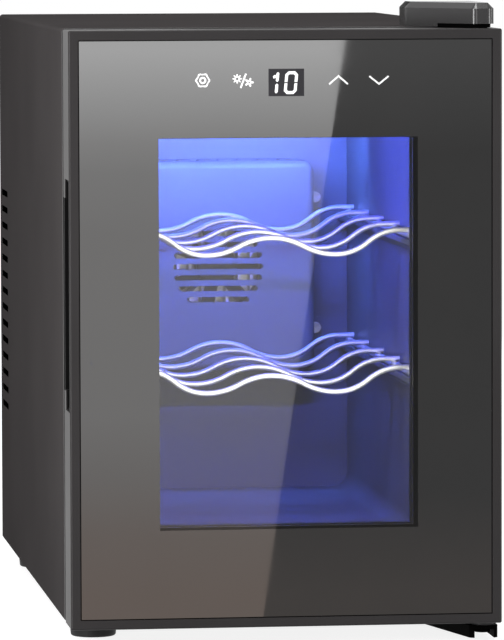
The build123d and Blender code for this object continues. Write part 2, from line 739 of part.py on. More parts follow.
def hinge_washer():
    washer = rod_z(PIVOT_X, PIVOT_Y, WASHER_DIAMETER, BRACKET_TOP, BRACKET_TOP + WASHER)
    return washer - rod_z(PIVOT_X, PIVOT_Y, PIN_DIAMETER, 0, DOOR_BOTTOM)


# Door
def grip_prism(wall, z_low, z_high):
    """Finger space in the side of the door, drawn in by a wall: open at the side and at the back."""
    out = -HALF - OVER
    edge = FRONT + GRIP_LIP + wall
    deep = GLASS_BACK + GRIP_SKIN + wall
    slope_end = DOOR_BORDER - HALF
    inner = GRIP_REACH - HALF - wall
    outline = make_face(
        Polyline(
            (out, edge),
            (-HALF, edge),
            (slope_end, deep),
            (inner, deep),
            (inner, PANE_BACK),
            (out, PANE_BACK),
            close=True,
        )
    )
    return along_z(outline, z_low, z_high)


def notch_prism():
    """Scoop behind the finger space, sloping out towards the back face."""
    outline = make_face(
        Polyline(
            (-HALF - OVER, PANE_BACK),
            (GRIP_REACH - HALF - CUP_WALL, PANE_BACK),
            (NOTCH_REACH - HALF, DOOR_BACK),
            (NOTCH_REACH - HALF, DOOR_BACK + OVER),
            (-HALF - OVER, DOOR_BACK + OVER),
            close=True,
        )
    )
    return along_z(outline, NOTCH_FLOOR, NOTCH_CEILING)


def bush_hole(z_face, inward):
    """Stepped hole for a hinge bush, from the door's end face inward."""
    deep = z_face + inward * BUSH_DEPTH
    step = z_face + inward * BUSH_FLANGE
    past = z_face - inward * OVER
    hole = rod_z(PIVOT_X, PIVOT_Y, BUSH_DIAMETER, min(deep, past), max(deep, past))
    return hole + rod_z(PIVOT_X, PIVOT_Y, BUSH_FLANGE_DIAMETER, min(step, past), max(step, past))


def bush(z_face, inward):
    deep = z_face + inward * BUSH_DEPTH
    step = z_face + inward * BUSH_FLANGE
    low, high = min(deep, z_face), max(deep, z_face)
    body = rod_z(PIVOT_X, PIVOT_Y, BUSH_DIAMETER, low, high)
    body += rod_z(PIVOT_X, PIVOT_Y, BUSH_FLANGE_DIAMETER, min(step, z_face), max(step, z_face))
    return body - rod_z(PIVOT_X, PIVOT_Y, PIN_DIAMETER + 2 * PIN_FIT, low - OVER, high + OVER)


def board_prism(grow, y_low, y_high):
    half = BOARD_WIDTH / 2 + grow
    rise = BOARD_HEIGHT / 2 + grow
    return block((-half, half), (y_low, y_high), (KEY_LEVEL - rise, KEY_LEVEL + rise))


def door_frame():
    frame = door_ring(0, FRONT, DOOR_BACK)
    frame = fillet(frame.edges().filter_by(Axis.Z), DOOR_EDGE)
    frame = fillet(edges_at(frame, Axis.Y, FRONT), DOOR_EDGE)
    frame -= door_ring(DOOR_BORDER, FRONT - OVER, GLASS_BACK)
    frame -= door_ring(DOOR_RIM, PANE_BACK, DOOR_BACK + OVER)
    frame -= window_prism(SPACER_WIDTH, FRONT, DOOR_BACK)
    frame -= grip_prism(0, GRIP_FLOOR, GRIP_CEILING)
    frame -= notch_prism()
    frame -= board_prism(BOARD_FIT, GLASS_BACK - OVER, BOARD_FRONT + BOARD_SHEET)
    frame -= bush_hole(DOOR_TOP, -1)
    frame -= bush_hole(DOOR_BOTTOM, 1)
    return frame


def front_glass():
    pane = door_ring(DOOR_BORDER + GLASS_FIT, FRONT, GLASS_BACK)
    return chamfer(edges_at(pane, Axis.Y, FRONT), GLASS_EDGE)


def glazing_spacer():
    bar = window_prism(SPACER_WIDTH, GLASS_BACK, PANE_FRONT)
    bar -= window_prism(0, GLASS_BACK - OVER, PANE_FRONT + OVER)
    land = (SPACER_DEPTH - SPACER_GROOVE_WIDTH) / 2
    bar -= window_prism(SPACER_GROOVE, GLASS_BACK + land, PANE_FRONT - land)
    return bar


def inner_glass():
    return window_prism(SPACER_WIDTH, PANE_FRONT, PANE_BACK)


def gasket_ring(inset, width, y_low, y_high):
    ring = door_ring(inset, y_low, y_high, GASKET_ROUND)
    return ring - door_ring(inset + width, y_low - OVER, y_high + OVER, GASKET_INNER_ROUND)


def door_back_frame():
    frame = door_ring(DOOR_RIM, PANE_BACK, DOOR_BACK)
    frame -= window_prism(SIGHT_STEP, FRONT, DOOR_BACK + OVER)
    middle = (WINDOW_FLOOR + WINDOW_CEILING) / 2
    reach = WINDOW_HALF + 2 * SIGHT_STEP
    rise = (WINDOW_CEILING - WINDOW_FLOOR) / 2 + 2 * SIGHT_STEP
    sight = [edge for edge in edges_at(frame, Axis.Y, DOOR_BACK) if abs(edge.center().X) < reach]
    frame = fillet([edge for edge in sight if abs(edge.center().Z - middle) < rise], BACK_FRAME_ROUND)
    dart_inset = GASKET_INSET + (GASKET_WIDTH - DART_WIDTH) / 2
    frame -= gasket_ring(dart_inset, DART_WIDTH, DOOR_BACK - DART_DEPTH, DOOR_BACK + OVER)
    return frame - notch_prism()


def door_gasket():
    seat = CASE_FRONT - GASKET_CLEARANCE
    ring = gasket_ring(GASKET_INSET, GASKET_WIDTH, DOOR_BACK, seat)
    ring = fillet(edges_at(ring, Axis.Y, seat), GASKET_LIP)
    dart_inset = GASKET_INSET + (GASKET_WIDTH - DART_WIDTH) / 2
    ring -= gasket_ring(dart_inset, DART_WIDTH, seat - GASKET_LIP, seat + OVER)
    return ring + gasket_ring(dart_inset, DART_WIDTH, DOOR_BACK - DART_DEPTH, DOOR_BACK)


def handle_cup():
    cup = grip_prism(0, GRIP_FLOOR, GRIP_CEILING)
    cup &= block((-HALF + DOOR_EDGE, 0), (FRONT, DOOR_BACK), (DOOR_BOTTOM, DOOR_TOP))
    return cup - grip_prism(CUP_WALL, GRIP_FLOOR + CUP_WALL, GRIP_CEILING - CUP_WALL)


def touch_board():
    return board_prism(0, BOARD_FRONT, BOARD_FRONT + BOARD_SHEET)


def touch_pads():
    front = GLASS_BACK + CONTACT_GAP
    return group([rod_y(x, KEY_LEVEL, KEY_DIAMETER, front, BOARD_FRONT) for x in KEY_PLACES])


def display_module():
    outline = Pos(0, KEY_LEVEL) * Rectangle(DISPLAY_WIDTH, DISPLAY_HEIGHT)
    return along_y(outline, GLASS_BACK + CONTACT_GAP, BOARD_FRONT)


# Shelves
def s_bend(start, run, rise):
    """Two tangent arcs that climb or fall smoothly over a run."""
    radius = (run**2 + rise**2) / (4 * abs(rise))
    turn = math.degrees(math.asin(run / (2 * radius)))
    sign = 1 if rise > 0 else -1
    first = JernArc(start=start, tangent=(1, 0), radius=radius, arc_size=sign * turn)
    second = JernArc(start=first @ 1, tangent=first % 1, radius=radius, arc_size=-sign * turn)
    return [first, second]


def shelf_wire(shelf, y):
    """One wavy wire across the shelf, bent up at both ends."""
    trough = CAVITY_FLOOR + SHELF_RISES[shelf]
    half_wave = WAVE_PITCH / 2
    pieces = [Line((-WIRE_END, trough + END_RISE), (-WAVE_PITCH, trough + END_RISE))]
    for rise in (-END_RISE, WAVE_RISE, -WAVE_RISE, END_RISE):
        pieces += s_bend(pieces[-1] @ 1, half_wave, rise)
    pieces.append(Line(pieces[-1] @ 1, (WIRE_END, trough + END_RISE)))
    plane = Plane(origin=(0, y, 0), x_dir=(1, 0, 0), z_dir=(0, -1, 0))
    path = plane * Wire([piece.edge() for piece in pieces])
    section = Plane(origin=path @ 0, z_dir=path % 0) * Circle(WIRE_DIAMETER / 2)
    return sweep(section, path=path)


def wire_places():
    return [WIRE_FRONT + row * WIRE_PITCH for row in range(WIRE_COUNT)]


def shelf_wires(shelf):
    return group([shelf_wire(shelf, y) for y in wire_places()])


def shelf_rails(shelf):
    places = wire_places()
    rails = []
    for side in (-1, 1):
        ends = (places[0] - RAIL_OVERHANG, places[-1] + RAIL_OVERHANG)
        rails.append(rod_y(side * RAIL_X, rail_level(shelf), RAIL_DIAMETER, *ends))
    return group(rails)


# Cooling unit
def fan_frame(size, depth, bore, hub):
    """Square fan housing round +Z, with its struts at Z = 0."""
    frame = Pos(0, 0, depth / 2) * Box(size, size, depth)
    frame = fillet(frame.edges().filter_by(Axis.Z), FAN_CORNER)
    frame -= rod_z(0, 0, bore, -OVER, depth + OVER)
    strut = block((0, bore / 2 + OVER), (-FAN_STRUT / 2, FAN_STRUT / 2), (0, FAN_STRUT))
    for place in range(FAN_STRUTS):
        frame += Rot(0, 0, (place + 0.5) * 360 / FAN_STRUTS) * strut
    frame += rod_z(0, 0, hub, 0, FAN_STRUT)
    frame += rod_z(0, 0, FAN_POST_DIAMETER, 0, FAN_STRUT + FAN_POST)
    frame -= rod_z(0, 0, FAN_SHAFT + 2 * PIN_FIT, FAN_SHAFT_SEAT, depth)
    reach = size / 2 - FAN_HOLE_INSET
    for x in (-reach, reach):
        for y in (-reach, reach):
            frame -= rod_z(x, y, SCREW_HOLE, -OVER, depth + OVER)
    return frame


def fan_rotor(depth, bore, hub):
    """Hub, shaft and twisted blades that turn inside the housing."""
    low = FAN_STRUT + FAN_RUNNING_GAP
    high = depth - FAN_RUNNING_GAP
    rotor = rod_z(0, 0, hub, low, high)
    rotor = fillet(edges_at(rotor, Axis.Z, high), FAN_HUB_EDGE)
    well = FAN_STRUT + FAN_POST + FAN_RUNNING_GAP
    rotor -= rod_z(0, 0, FAN_POST_DIAMETER + 2 * FAN_RUNNING_GAP, low - OVER, well)
    rotor += rod_z(0, 0, FAN_SHAFT, FAN_SHAFT_SEAT + FAN_RUNNING_GAP, well + OVER)
    middle = (low + high) / 2
    chord = (high - low - 2 * FAN_RUNNING_GAP) / math.sin(math.radians(FAN_ROOT_PITCH))
    root = Plane(origin=(hub / 2 - OVER, 0, middle), x_dir=(0, 1, 0), z_dir=(1, 0, 0))
    tip = Plane(origin=(bore / 2, 0, middle), x_dir=(0, 1, 0), z_dir=(1, 0, 0))
    section = Rectangle(chord, FAN_BLADE_SHEET)
    blade = loft([root * Rot(0, 0, FAN_ROOT_PITCH) * section, tip * Rot(0, 0, FAN_TIP_PITCH) * section])
    blade &= rod_z(0, 0, bore - 2 * FAN_TIP_GAP, low, high)
    for place in range(FAN_BLADES):
        rotor += Rot(0, 0, place * 360 / FAN_BLADES) * blade
    return rotor


def on_fan_axis(shape, y):
    """Stand a fan on the cooling axis with its struts at the back."""
    return Pos(0, y, COOLER_LEVEL) * Rot(90, 0, 0) * shape


def finned_sink(width, base_low, base_high, fin_tip, count, sheet):
    """Extruded heat sink: square base with upright fins on one side."""
    half = width / 2
    tall = (COOLER_LEVEL - half, COOLER_LEVEL + half)
    sink = block((-half, half), (base_low, base_high), tall)
    fins = (base_high, fin_tip) if fin_tip > base_high else (fin_tip, base_low)
    step = (width - sheet) / (count - 1)
    for number in range(count):
        x = -half + number * step
        sink += block((x, x + sheet), fins, tall)
    return sink


def cold_sink():
    base = CAVITY_BACK - COLD_BASE
    sink = finned_sink(COLD_SINK, base, CAVITY_BACK, COLD_FIN_TIP, COLD_FIN_COUNT, COLD_FIN_SHEET)
    for x, z in sink_screw_places():
        sink -= rod_y(x, z, SCREW_HOLE, base, CAVITY_BACK + OVER)
    return sink


def cold_block():
    outline = Pos(0, COOLER_LEVEL) * Rectangle(BLOCK, BLOCK)
    return along_y(outline, CAVITY_BACK, FOAM_BACK - MODULE_THICKNESS)


def peltier_module():
    low = FOAM_BACK - MODULE_THICKNESS
    outline = Pos(0, COOLER_LEVEL) * Rectangle(MODULE, MODULE)
    core = MODULE - 2 * MODULE_GROOVE
    module = along_y(outline, low, FOAM_BACK)
    groove = along_y(outline, low + MODULE_PLATE, FOAM_BACK - MODULE_PLATE)
    groove -= along_y(Pos(0, COOLER_LEVEL) * Rectangle(core, core), low, FOAM_BACK)
    return module - groove


def hot_sink():
    sink = finned_sink(HOT_SINK, FOAM_BACK, FOAM_BACK + HOT_BASE, FIN_TIP, HOT_FIN_COUNT, HOT_FIN_SHEET)
    for x, z in sink_screw_places():
        sink -= rod_y(x, z, SCREW_HOLE, FOAM_BACK - OVER, FOAM_BACK + HOT_BASE + OVER)
        sink -= rod_y(x, z, SCREW_HEAD_DIAMETER + 2 * SCREW_FIT, FOAM_BACK + HOT_BASE, FIN_TIP + OVER)
    return sink


def sink_screws():
    seat = FOAM_BACK + HOT_BASE
    return group([screw_y(x, z, seat, CAVITY_BACK - COLD_BASE) for x, z in sink_screw_places()])


def cold_fan_frame():
    return on_fan_axis(fan_frame(COLD_FAN, COLD_FAN_DEPTH, COLD_FAN_BORE, COLD_FAN_HUB), COLD_FIN_TIP)


def cold_fan_rotor():
    return on_fan_axis(fan_rotor(COLD_FAN_DEPTH, COLD_FAN_BORE, COLD_FAN_HUB), COLD_FIN_TIP)


def hot_fan_frame():
    return on_fan_axis(fan_frame(HOT_FAN, HOT_FAN_DEPTH, HOT_FAN_BORE, HOT_FAN_HUB), PANEL_FRONT)


def hot_fan_rotor():
    return on_fan_axis(fan_rotor(HOT_FAN_DEPTH, HOT_FAN_BORE, HOT_FAN_HUB), PANEL_FRONT)


def hot_fan_screws():
    tip = HOT_FAN_FRONT
    return group([screw_y(x, z, PANEL_BACK, tip) for x, z in fan_screw_places(HOT_FAN)])


def fan_guard():
    """Wire guard seated in the rear opening: rings on crossed spokes."""
    reach = HOT_FAN_BORE / 2 - GUARD_FIT
    depth = (PANEL_FRONT, PANEL_FRONT + GUARD_WIRE)
    guard = rod_y(0, COOLER_LEVEL, GUARD_BOSS, *depth)
    for ring in range(1, GUARD_RINGS + 1):
        outer = 2 * reach * ring / GUARD_RINGS
        band = rod_y(0, COOLER_LEVEL, outer, *depth)
        guard += band - rod_y(0, COOLER_LEVEL, outer - 2 * GUARD_WIRE, depth[0] - OVER, depth[1] + OVER)
    spoke = block((0, reach - GUARD_WIRE / 2), (-GUARD_WIRE / 2, GUARD_WIRE / 2), (0, GUARD_WIRE))
    for turn in range(GUARD_SPOKES):
        placed = Rot(90, 0, 0) * Rot(0, 0, 360 * turn / GUARD_SPOKES) * spoke
        guard += Pos(0, depth[1], COOLER_LEVEL) * placed
    return guard


def cover_prism(wall, y_low, y_high, edge):
    """Outline of the fan cover drawn in by a wall, with its front edge rounded."""
    width = COVER_WIDTH - 2 * wall
    height = COVER_HEIGHT - 2 * wall
    prism = along_y(rounded(width, height, COVER_ROUND - wall, 0, COOLER_LEVEL), y_low, y_high)
    return fillet(edges_at(prism, Axis.Y, y_low), edge)


def fan_cover():
    cover = cover_prism(0, COVER_FRONT, CAVITY_BACK, COVER_EDGE)
    ear_front = CAVITY_BACK - COVER_EAR_SHEET
    for x, z in ear_places():
        cover += along_y(rounded(COVER_EAR, COVER_EAR, COVER_EDGE, x, z), ear_front, CAVITY_BACK)
    inside = COVER_FRONT + COVER_WALL
    cover -= cover_prism(COVER_WALL, inside, CAVITY_BACK + OVER, COVER_EDGE - COVER_WALL)
    for row in range(INTAKE_ROWS):
        rise = (row - (INTAKE_ROWS - 1) / 2) * INTAKE_PITCH
        length = 2 * math.sqrt((INTAKE_DIAMETER / 2) ** 2 - rise**2)
        slot = Pos(0, COOLER_LEVEL + rise) * SlotOverall(length, INTAKE_SLOT)
        cover -= along_y(slot, COVER_FRONT - OVER, inside + OVER)
    middle = (COVER_FRONT + CAVITY_BACK) / 2
    reach = COVER_HEIGHT / 2 + OVER
    slot = Pos(0, middle, COOLER_LEVEL) * Box(OUTLET_SLOT, OUTLET_LENGTH, 2 * reach)
    for column in range(OUTLET_COUNT):
        cover -= Pos((column - (OUTLET_COUNT - 1) / 2) * OUTLET_PITCH, 0, 0) * slot
    for x, z in ear_places():
        cover -= rod_y(x, z, SCREW_HOLE, CAVITY_BACK - COVER_EAR_SHEET - OVER, CAVITY_BACK + OVER)
    return cover


def fan_cover_screws():
    turned = []
    for x, z in ear_places():
        seat = CAVITY_BACK - COVER_EAR_SHEET
        head = rod_y(x, z, SCREW_HEAD_DIAMETER, seat - SCREW_HEAD, seat)
        head = fillet(edges_at(head, Axis.Y, seat - SCREW_HEAD), SCREW_HEAD_EDGE)
        turned.append(head + rod_y(x, z, SCREW_DIAMETER, seat, CAVITY_BACK))
    return group(turned)


# Electrics
def on_board(x, width, depth, low, height):
    """Block on the power board: left side, size, foot and height, centred along the depth."""
    return block((x, x + width), (PCB_MIDDLE - depth / 2, PCB_MIDDLE + depth / 2), (low, low + height))


def main_board():
    return on_board(PCB_LEFT, PCB_WIDTH, PCB_DEPTH, PCB_LOW, BOARD_SHEET)


def board_posts():
    return group([rod_z(x, y, POST_DIAMETER, BASE_TOP, PCB_LOW) for x, y in post_places()])


def board_parts():
    """Transformer, smoothing cans, heat spreader and connector on the power board."""
    low = PCB_LOW + BOARD_SHEET
    x = PCB_LEFT + PART_MARGIN
    core = on_board(x, CORE_WIDTH, CORE_DEPTH, low, CORE_HEIGHT)
    core = fillet(core.edges().filter_by(Axis.Z), CORE_EDGE)
    x += CORE_WIDTH + PART_GAP
    cans = []
    for side in (-1, 1):
        y = PCB_MIDDLE + side * CAN_PITCH / 2
        cans.append(rod_z(x + CAN_DIAMETER / 2, y, CAN_DIAMETER, low, low + CAN_HEIGHT))
    x += CAN_DIAMETER + PART_GAP
    spreader = on_board(x, SPREADER_SHEET, SPREADER_DEPTH, low, SPREADER_HEIGHT)
    x += SPREADER_SHEET
    step = (SPREADER_DEPTH - SPREADER_SHEET) / (SPREADER_FIN_COUNT - 1)
    fin = on_board(x, SPREADER_FIN, SPREADER_SHEET, low, SPREADER_HEIGHT)
    for number in range(SPREADER_FIN_COUNT):
        spreader += Pos(0, (number - (SPREADER_FIN_COUNT - 1) / 2) * step, 0) * fin
    x += SPREADER_FIN + PART_GAP
    connector = on_board(x, CONNECTOR_WIDTH, CONNECTOR_DEPTH, low, CONNECTOR_HEIGHT)
    return group([core, *cans, spreader, connector])


def inlet_prism(grow, y_low, y_high):
    """Outline of the mains inlet, grown all round."""
    width = INLET_WIDTH + 2 * grow
    height = INLET_HEIGHT + 2 * grow
    return along_y(rounded(width, height, INLET_ROUND, INLET_X, INLET_LEVEL), y_low, y_high)


def power_inlet():
    front = PANEL_FRONT - INLET_DEPTH
    rear = PANEL_BACK + INLET_FLANGE_SHEET
    body = inlet_prism(0, front, rear) + inlet_prism(INLET_FLANGE, PANEL_BACK, rear)
    return body - inlet_prism(-INLET_WALL, front + INLET_FLOOR, rear + OVER)


def inlet_pins():
    low = PANEL_FRONT - INLET_DEPTH + INLET_FLOOR
    places = [(-BLADE_SPREAD, -BLADE_OFFSET), (BLADE_SPREAD, -BLADE_OFFSET), (0, BLADE_OFFSET)]
    pins = []
    for x, rise in places:
        outline = Pos(INLET_X + x, INLET_LEVEL + rise) * Rectangle(BLADE_WIDTH, BLADE_HEIGHT)
        pins.append(along_y(outline, low, low + BLADE_LENGTH))
    return group(pins)


def led_lens():
    flange = led_prism(LED_FLANGE, CAVITY_TOP - LED_PROUD, CAVITY_TOP)
    flange = fillet(flange.edges().filter_by(Axis.Z), LED_FLANGE)
    flange = fillet(edges_at(flange, Axis.Z, CAVITY_TOP - LED_PROUD), LED_EDGE)
    lens = flange + led_prism(0, CAVITY_TOP, CAVITY_TOP + LINER_WALL)
    return lens - led_prism(-LED_FLANGE, CAVITY_TOP - LED_PROUD + LED_LENS, CAVITY_TOP + LINER_WALL + OVER)


def led_board():
    low = CAVITY_TOP + LINER_WALL
    board = led_prism(0, low, low + BOARD_SHEET)
    step = (LED_LENGTH - 2 * LED_CHIP_INSET) / (LED_CHIP_COUNT - 1)
    chip = Pos(0, LED_Y, low - LED_CHIP_HEIGHT / 2) * Box(LED_CHIP, LED_CHIP, LED_CHIP_HEIGHT)
    for number in range(LED_CHIP_COUNT):
        board += Pos((number - (LED_CHIP_COUNT - 1) / 2) * step, 0, 0) * chip
    return board


def sensor_clip():
    front = CAVITY_BACK - CLIP_DEPTH
    clip = along_y(rounded(CLIP_WIDTH, CLIP_HEIGHT, CLIP_CORNER, CLIP_X, CLIP_LEVEL), front, CAVITY_BACK)
    clip = fillet(edges_at(clip, Axis.Y, front), CLIP_EDGE)
    for number in range(CLIP_SLOT_COUNT):
        rise = (number - (CLIP_SLOT_COUNT - 1) / 2) * CLIP_SLOT_PITCH
        slot = Pos(CLIP_X, CLIP_LEVEL + rise) * SlotOverall(CLIP_SLOT_LENGTH, CLIP_SLOT)
        clip -= along_y(slot, front - OVER, front + CLIP_SLOT_DEPTH)
    return clip


PARTS = {
    "outer_shell": outer_shell,
    "base_panel": base_panel,
    "back_panel": back_panel,
    "front_frame": front_frame,
    "liner": liner,
    "shelf_ledges": shelf_ledges,
    "insulation": insulation,
    "feet": feet,
    "foot_screws": foot_screws,
    "back_panel_screws": back_panel_screws,
    "hinge_cap": hinge_cap,
    "top_hinge_plate": top_hinge_plate,
    "top_hinge_pin": top_hinge_pin,
    "top_hinge_screws": top_hinge_screws,
    "bottom_hinge_bracket": bottom_hinge_bracket,
    "bottom_hinge_pin": bottom_hinge_pin,
    "bottom_hinge_screws": bottom_hinge_screws,
    "hinge_washer": hinge_washer,
    "door_frame": door_frame,
    "front_glass": front_glass,
    "glazing_spacer": glazing_spacer,
    "inner_glass": inner_glass,
    "door_back_frame": door_back_frame,
    "door_gasket": door_gasket,
    "handle_cup": handle_cup,
    "touch_board": touch_board,
    "touch_pads": touch_pads,
    "display_module": display_module,
    "top_bush": lambda: bush(DOOR_TOP, -1),
    "bottom_bush": lambda: bush(DOOR_BOTTOM, 1),
    "upper_shelf_wires": lambda: shelf_wires("upper"),
    "upper_shelf_rails": lambda: shelf_rails("upper"),
    "lower_shelf_wires": lambda: shelf_wires("lower"),
    "lower_shelf_rails": lambda: shelf_rails("lower"),
    "cold_sink": cold_sink,
    "cold_block": cold_block,
    "peltier_module": peltier_module,
    "hot_sink": hot_sink,
    "sink_screws": sink_screws,
    "cold_fan_frame": cold_fan_frame,
    "cold_fan_rotor": cold_fan_rotor,
    "hot_fan_frame": hot_fan_frame,
    "hot_fan_rotor": hot_fan_rotor,
    "hot_fan_screws": hot_fan_screws,
    "fan_guard": fan_guard,
    "fan_cover": fan_cover,
    "fan_cover_screws": fan_cover_screws,
    "main_board": main_board,
    "board_posts": board_posts,
    "board_parts": board_parts,
    "power_inlet": power_inlet,
    "inlet_pins": inlet_pins,
    "led_lens": led_lens,
    "led_board": led_board,
    "sensor_clip": sensor_clip,
}

os.makedirs("parts", exist_ok=True)
for name, make in PARTS.items():
    export_step(make(), f"parts/{name}.step")
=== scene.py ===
import json
import math
import bmesh
import bpy
from mathutils import Matrix, Vector


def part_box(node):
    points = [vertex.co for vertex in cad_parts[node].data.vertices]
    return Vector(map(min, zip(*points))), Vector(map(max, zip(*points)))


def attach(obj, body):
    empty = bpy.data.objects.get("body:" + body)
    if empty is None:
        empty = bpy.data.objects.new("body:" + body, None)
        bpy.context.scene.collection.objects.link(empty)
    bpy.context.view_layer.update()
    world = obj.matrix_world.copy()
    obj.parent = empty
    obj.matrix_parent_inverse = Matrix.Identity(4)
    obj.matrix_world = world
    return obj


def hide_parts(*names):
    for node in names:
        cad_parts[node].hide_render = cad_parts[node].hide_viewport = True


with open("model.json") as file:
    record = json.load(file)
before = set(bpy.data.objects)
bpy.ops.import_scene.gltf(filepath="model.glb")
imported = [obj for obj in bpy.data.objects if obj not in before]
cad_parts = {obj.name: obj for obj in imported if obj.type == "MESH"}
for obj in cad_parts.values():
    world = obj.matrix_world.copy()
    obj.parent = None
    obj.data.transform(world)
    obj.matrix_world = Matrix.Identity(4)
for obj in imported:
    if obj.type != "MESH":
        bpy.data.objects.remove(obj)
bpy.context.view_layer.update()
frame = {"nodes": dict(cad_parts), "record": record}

MM = 0.001  # sizes below are in millimetres, in the frame of the CAD model

# Camera, fitted to the corners of the casing
CAMERA_PLACE = (-426.45, -3528.99, 427.70)
CAMERA_YAW = math.radians(7.056)
CAMERA_PITCH = math.radians(4.109)
CAMERA_ROLL = math.radians(-0.168)
FOCAL_PIXELS = 5743.5
IMAGE_HEIGHT = 640
SENSOR = 36.0
FARTHEST = 100.0  # metres

# Door glass and its print
GLASS_LOW, GLASS_HIGH = (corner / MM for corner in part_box("front_glass"))
GLASS_FRONT = GLASS_LOW.y
PRINT_INSET = 0.12  # ink stops short of the edge of the glass
INK = 0.01
INK_GAP = 0.003
INK_FRONT = GLASS_FRONT - INK_GAP - INK
WINDOW_LEFT, WINDOW_RIGHT = -74.1, 76.6
WINDOW_FLOOR, WINDOW_CEILING = 68.7, 295.4

# Signs over the ink; a wheel has its middle radius, swing, teeth and sharpness
SIGN_SHEET = 0.01
GEAR_PLACE = (-48.4, 328.55)
GEAR_WHEEL = (4.05, 0.32, 6, 0.8)
GEAR_HEXAGON = 2.95
GEAR_RING, GEAR_HOLE = 2.05, 1.0
SUN_PLACE = (-28.45, 329.35)
SUN_WHEEL = (2.15, 0.72, 8, 0.5)
SUN_HOLE = 0.75
FAN_PLACE = (-21.5, 327.25)
FAN_WHEEL = (2.0, 0.75, 5, 0.8)
FAN_HOLE = 0.4
SLASH = ((-23.35, 332.3), (-26.5, 324.1))
SLASH_WIDTH = 1.1
UP_ARROW = ((24.95, 325.9), (30.4, 330.6), (35.85, 325.9))
DOWN_ARROW = ((48.35, 330.4), (54.0, 325.9), (59.6, 330.4))
ARROW_WIDTH = 0.95

# Display film over the ink, with its digits
FILM_LEFT, FILM_RIGHT = -10.3, 10.4
FILM_LOW, FILM_HIGH = 319.2, 335.0
FILM = 0.02
DIGIT_SHEET = 0.01
DIGIT_LOW, DIGIT_HIGH = 320.4, 333.5
DIGIT_MIDDLE = (DIGIT_LOW + DIGIT_HIGH) / 2
DIGIT_SLANT = 0.095  # sideways lean for each unit of height
DIGIT_STROKE = 1.7
SEGMENT_GAP = 0.35
DIGIT_CHAMFER = 1.3
ONE_X = -5.35
ONE_FLAG = ((-2.5, 2.1), (-1.0, 4.9))  # from the middle of the digit one
ZERO_LEFT, ZERO_RIGHT = -0.15, 5.6

# Black sheets of painted shade on the back wall of the side grip
SHADE_SHEET_THICKNESS = 0.05
SHADE_SHEET_GAP = 0.02
SHADE_SHEET_LEFT, SHADE_SHEET_RIGHT = -125.4, -112.0
SHADE_SHEET_STRIPS = ((138.0, 149.2), (259.8, 271.0))  # below and above the scoop
SHADE_SHEET_DEPTH = -223.5

# Screw heads, as shares of the head's height or radius
RECESS_DEPTH = 0.5
RECESS_REACH = 0.62
RECESS_WIDTH = 0.52
HEAD_ROUND = 0.16
WIDE_SHARE = 0.75  # points further out than this belong to the head

# Making of meshes
ROUND_STEPS = 96  # points on a closed curve
ROUND_CUTS = 2  # cuts along a rounded edge
WELD = 0.001  # points nearer than this become one
DEPTH_AXIS, HEIGHT_AXIS = 1, 2

# Paint of the casing
PAINT_DARK, PAINT_LIGHT = (0.057, 0.0525, 0.053), (0.066, 0.061, 0.0615)
PAINT_ROUGH = (0.7, 0.8)
PAINT_GRAIN = 700.0
PAINT_RELIEF = 0.04
SHELL_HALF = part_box("outer_shell")[1].x / MM
SHELL_SKIN = 0.05
VENT_DEPTHS = (150.0, 246.0)  # from front to back
VENT_LEVELS = (80.0, 300.0)
# Painted shade: inside the vent region, faces behind the shell's outer skin (slot edges, inner faces, the
# back flange seen through the slots) are painted near black
VENT_PAINTED_SHADE = (0.002, 0.002, 0.002)

# Patterns of the materials: scales count per metre, reliefs are heights
NOISE_LOW, NOISE_HIGH = 0.3, 0.7  # usual range of a noise
PATCH = 9.0
PATCH_DETAIL = 6.0
GRAIN_DETAIL = 2.0
FOAM_CELLS = 420.0
FOAM_PATCH = 16.0
FOAM_RELIEF = 0.6
SMEAR_SCALE = 24.0
SMEAR_DETAIL = 8.0
SMEAR_STRETCH = (1.0, 1.0, 0.4)
SMEAR_ROUGH = 0.02
INK_PATCH = 30.0
INK_DETAIL = 5.0
INK_ROUGH = 0.03
INK_IOR = 1.9
GLOW_DETAIL = 3.0
GLOW_ROUGH = 0.4
SIGN_PATCH = 300.0
SIGN_STRENGTH = 0.9
LENS_PATCH = 200.0
LENS_STRENGTH = 1.5
BOARD_LINES = 260.0
BOARD_LINE_WIDTH = 0.035
BOARD_RELIEF = 0.03
BOARD_PATCH = 80.0
BOARD_DETAIL = 3.0

# Light in the cavity
LAMP_LENGTH = 90.0
LAMP_WIDTH = 14.0
LAMP_DROP = 0.6
LAMP_POWER = 6.2
LAMP_AIM = (0.0, 130.0, 210.0)
LAMP_COLOUR = (0.065, 0.085, 1.0)
REAR_LAMP_PLACE = (0.0, 40.0, 312.0)
REAR_LAMP_AIM = (-10.0, 131.0, 240.0)
REAR_LAMP_LENGTH = 150.0
REAR_LAMP_WIDTH = 40.0
REAR_LAMP_POWER = 3.5
REAR_LAMP_COLOUR = (0.095, 0.205, 1.0)
FILL_POWER = 0.27

# Studio lamps
WHITE = (1.0, 1.0, 1.0)
AMBIENT = 0.42
LAMPS = (  # name, place, aim, width, height, power
    ("above", (0, -100, 2000), (0, 0, 300), 600, 600, 8.6),
    ("back", (500, 1900, 700), (0, 247, 180), 900, 900, 16.0),
    ("left", (-650, -850, 250), (0, -150, 120), 300, 1400, 14.5),
    ("right", (1500, -1900, 1000), (0, -150, 200), 700, 900, 8.0),
    ("rim", (1060, -520, 420), (117, -230, 365), 90, 700, 2.1),
    ("nose", (860, -1175, 400), (117, -230, 365), 260, 700, 4.6),
    ("edge", (-1026, 240, 200), (-126, -209, 190), 60, 1400, 1.6),
)
NO_GLOSS = ("back",)  # light a surface without showing in it
ONLY_GLOSS = ("rim", "nose")  # show in a surface without lighting it

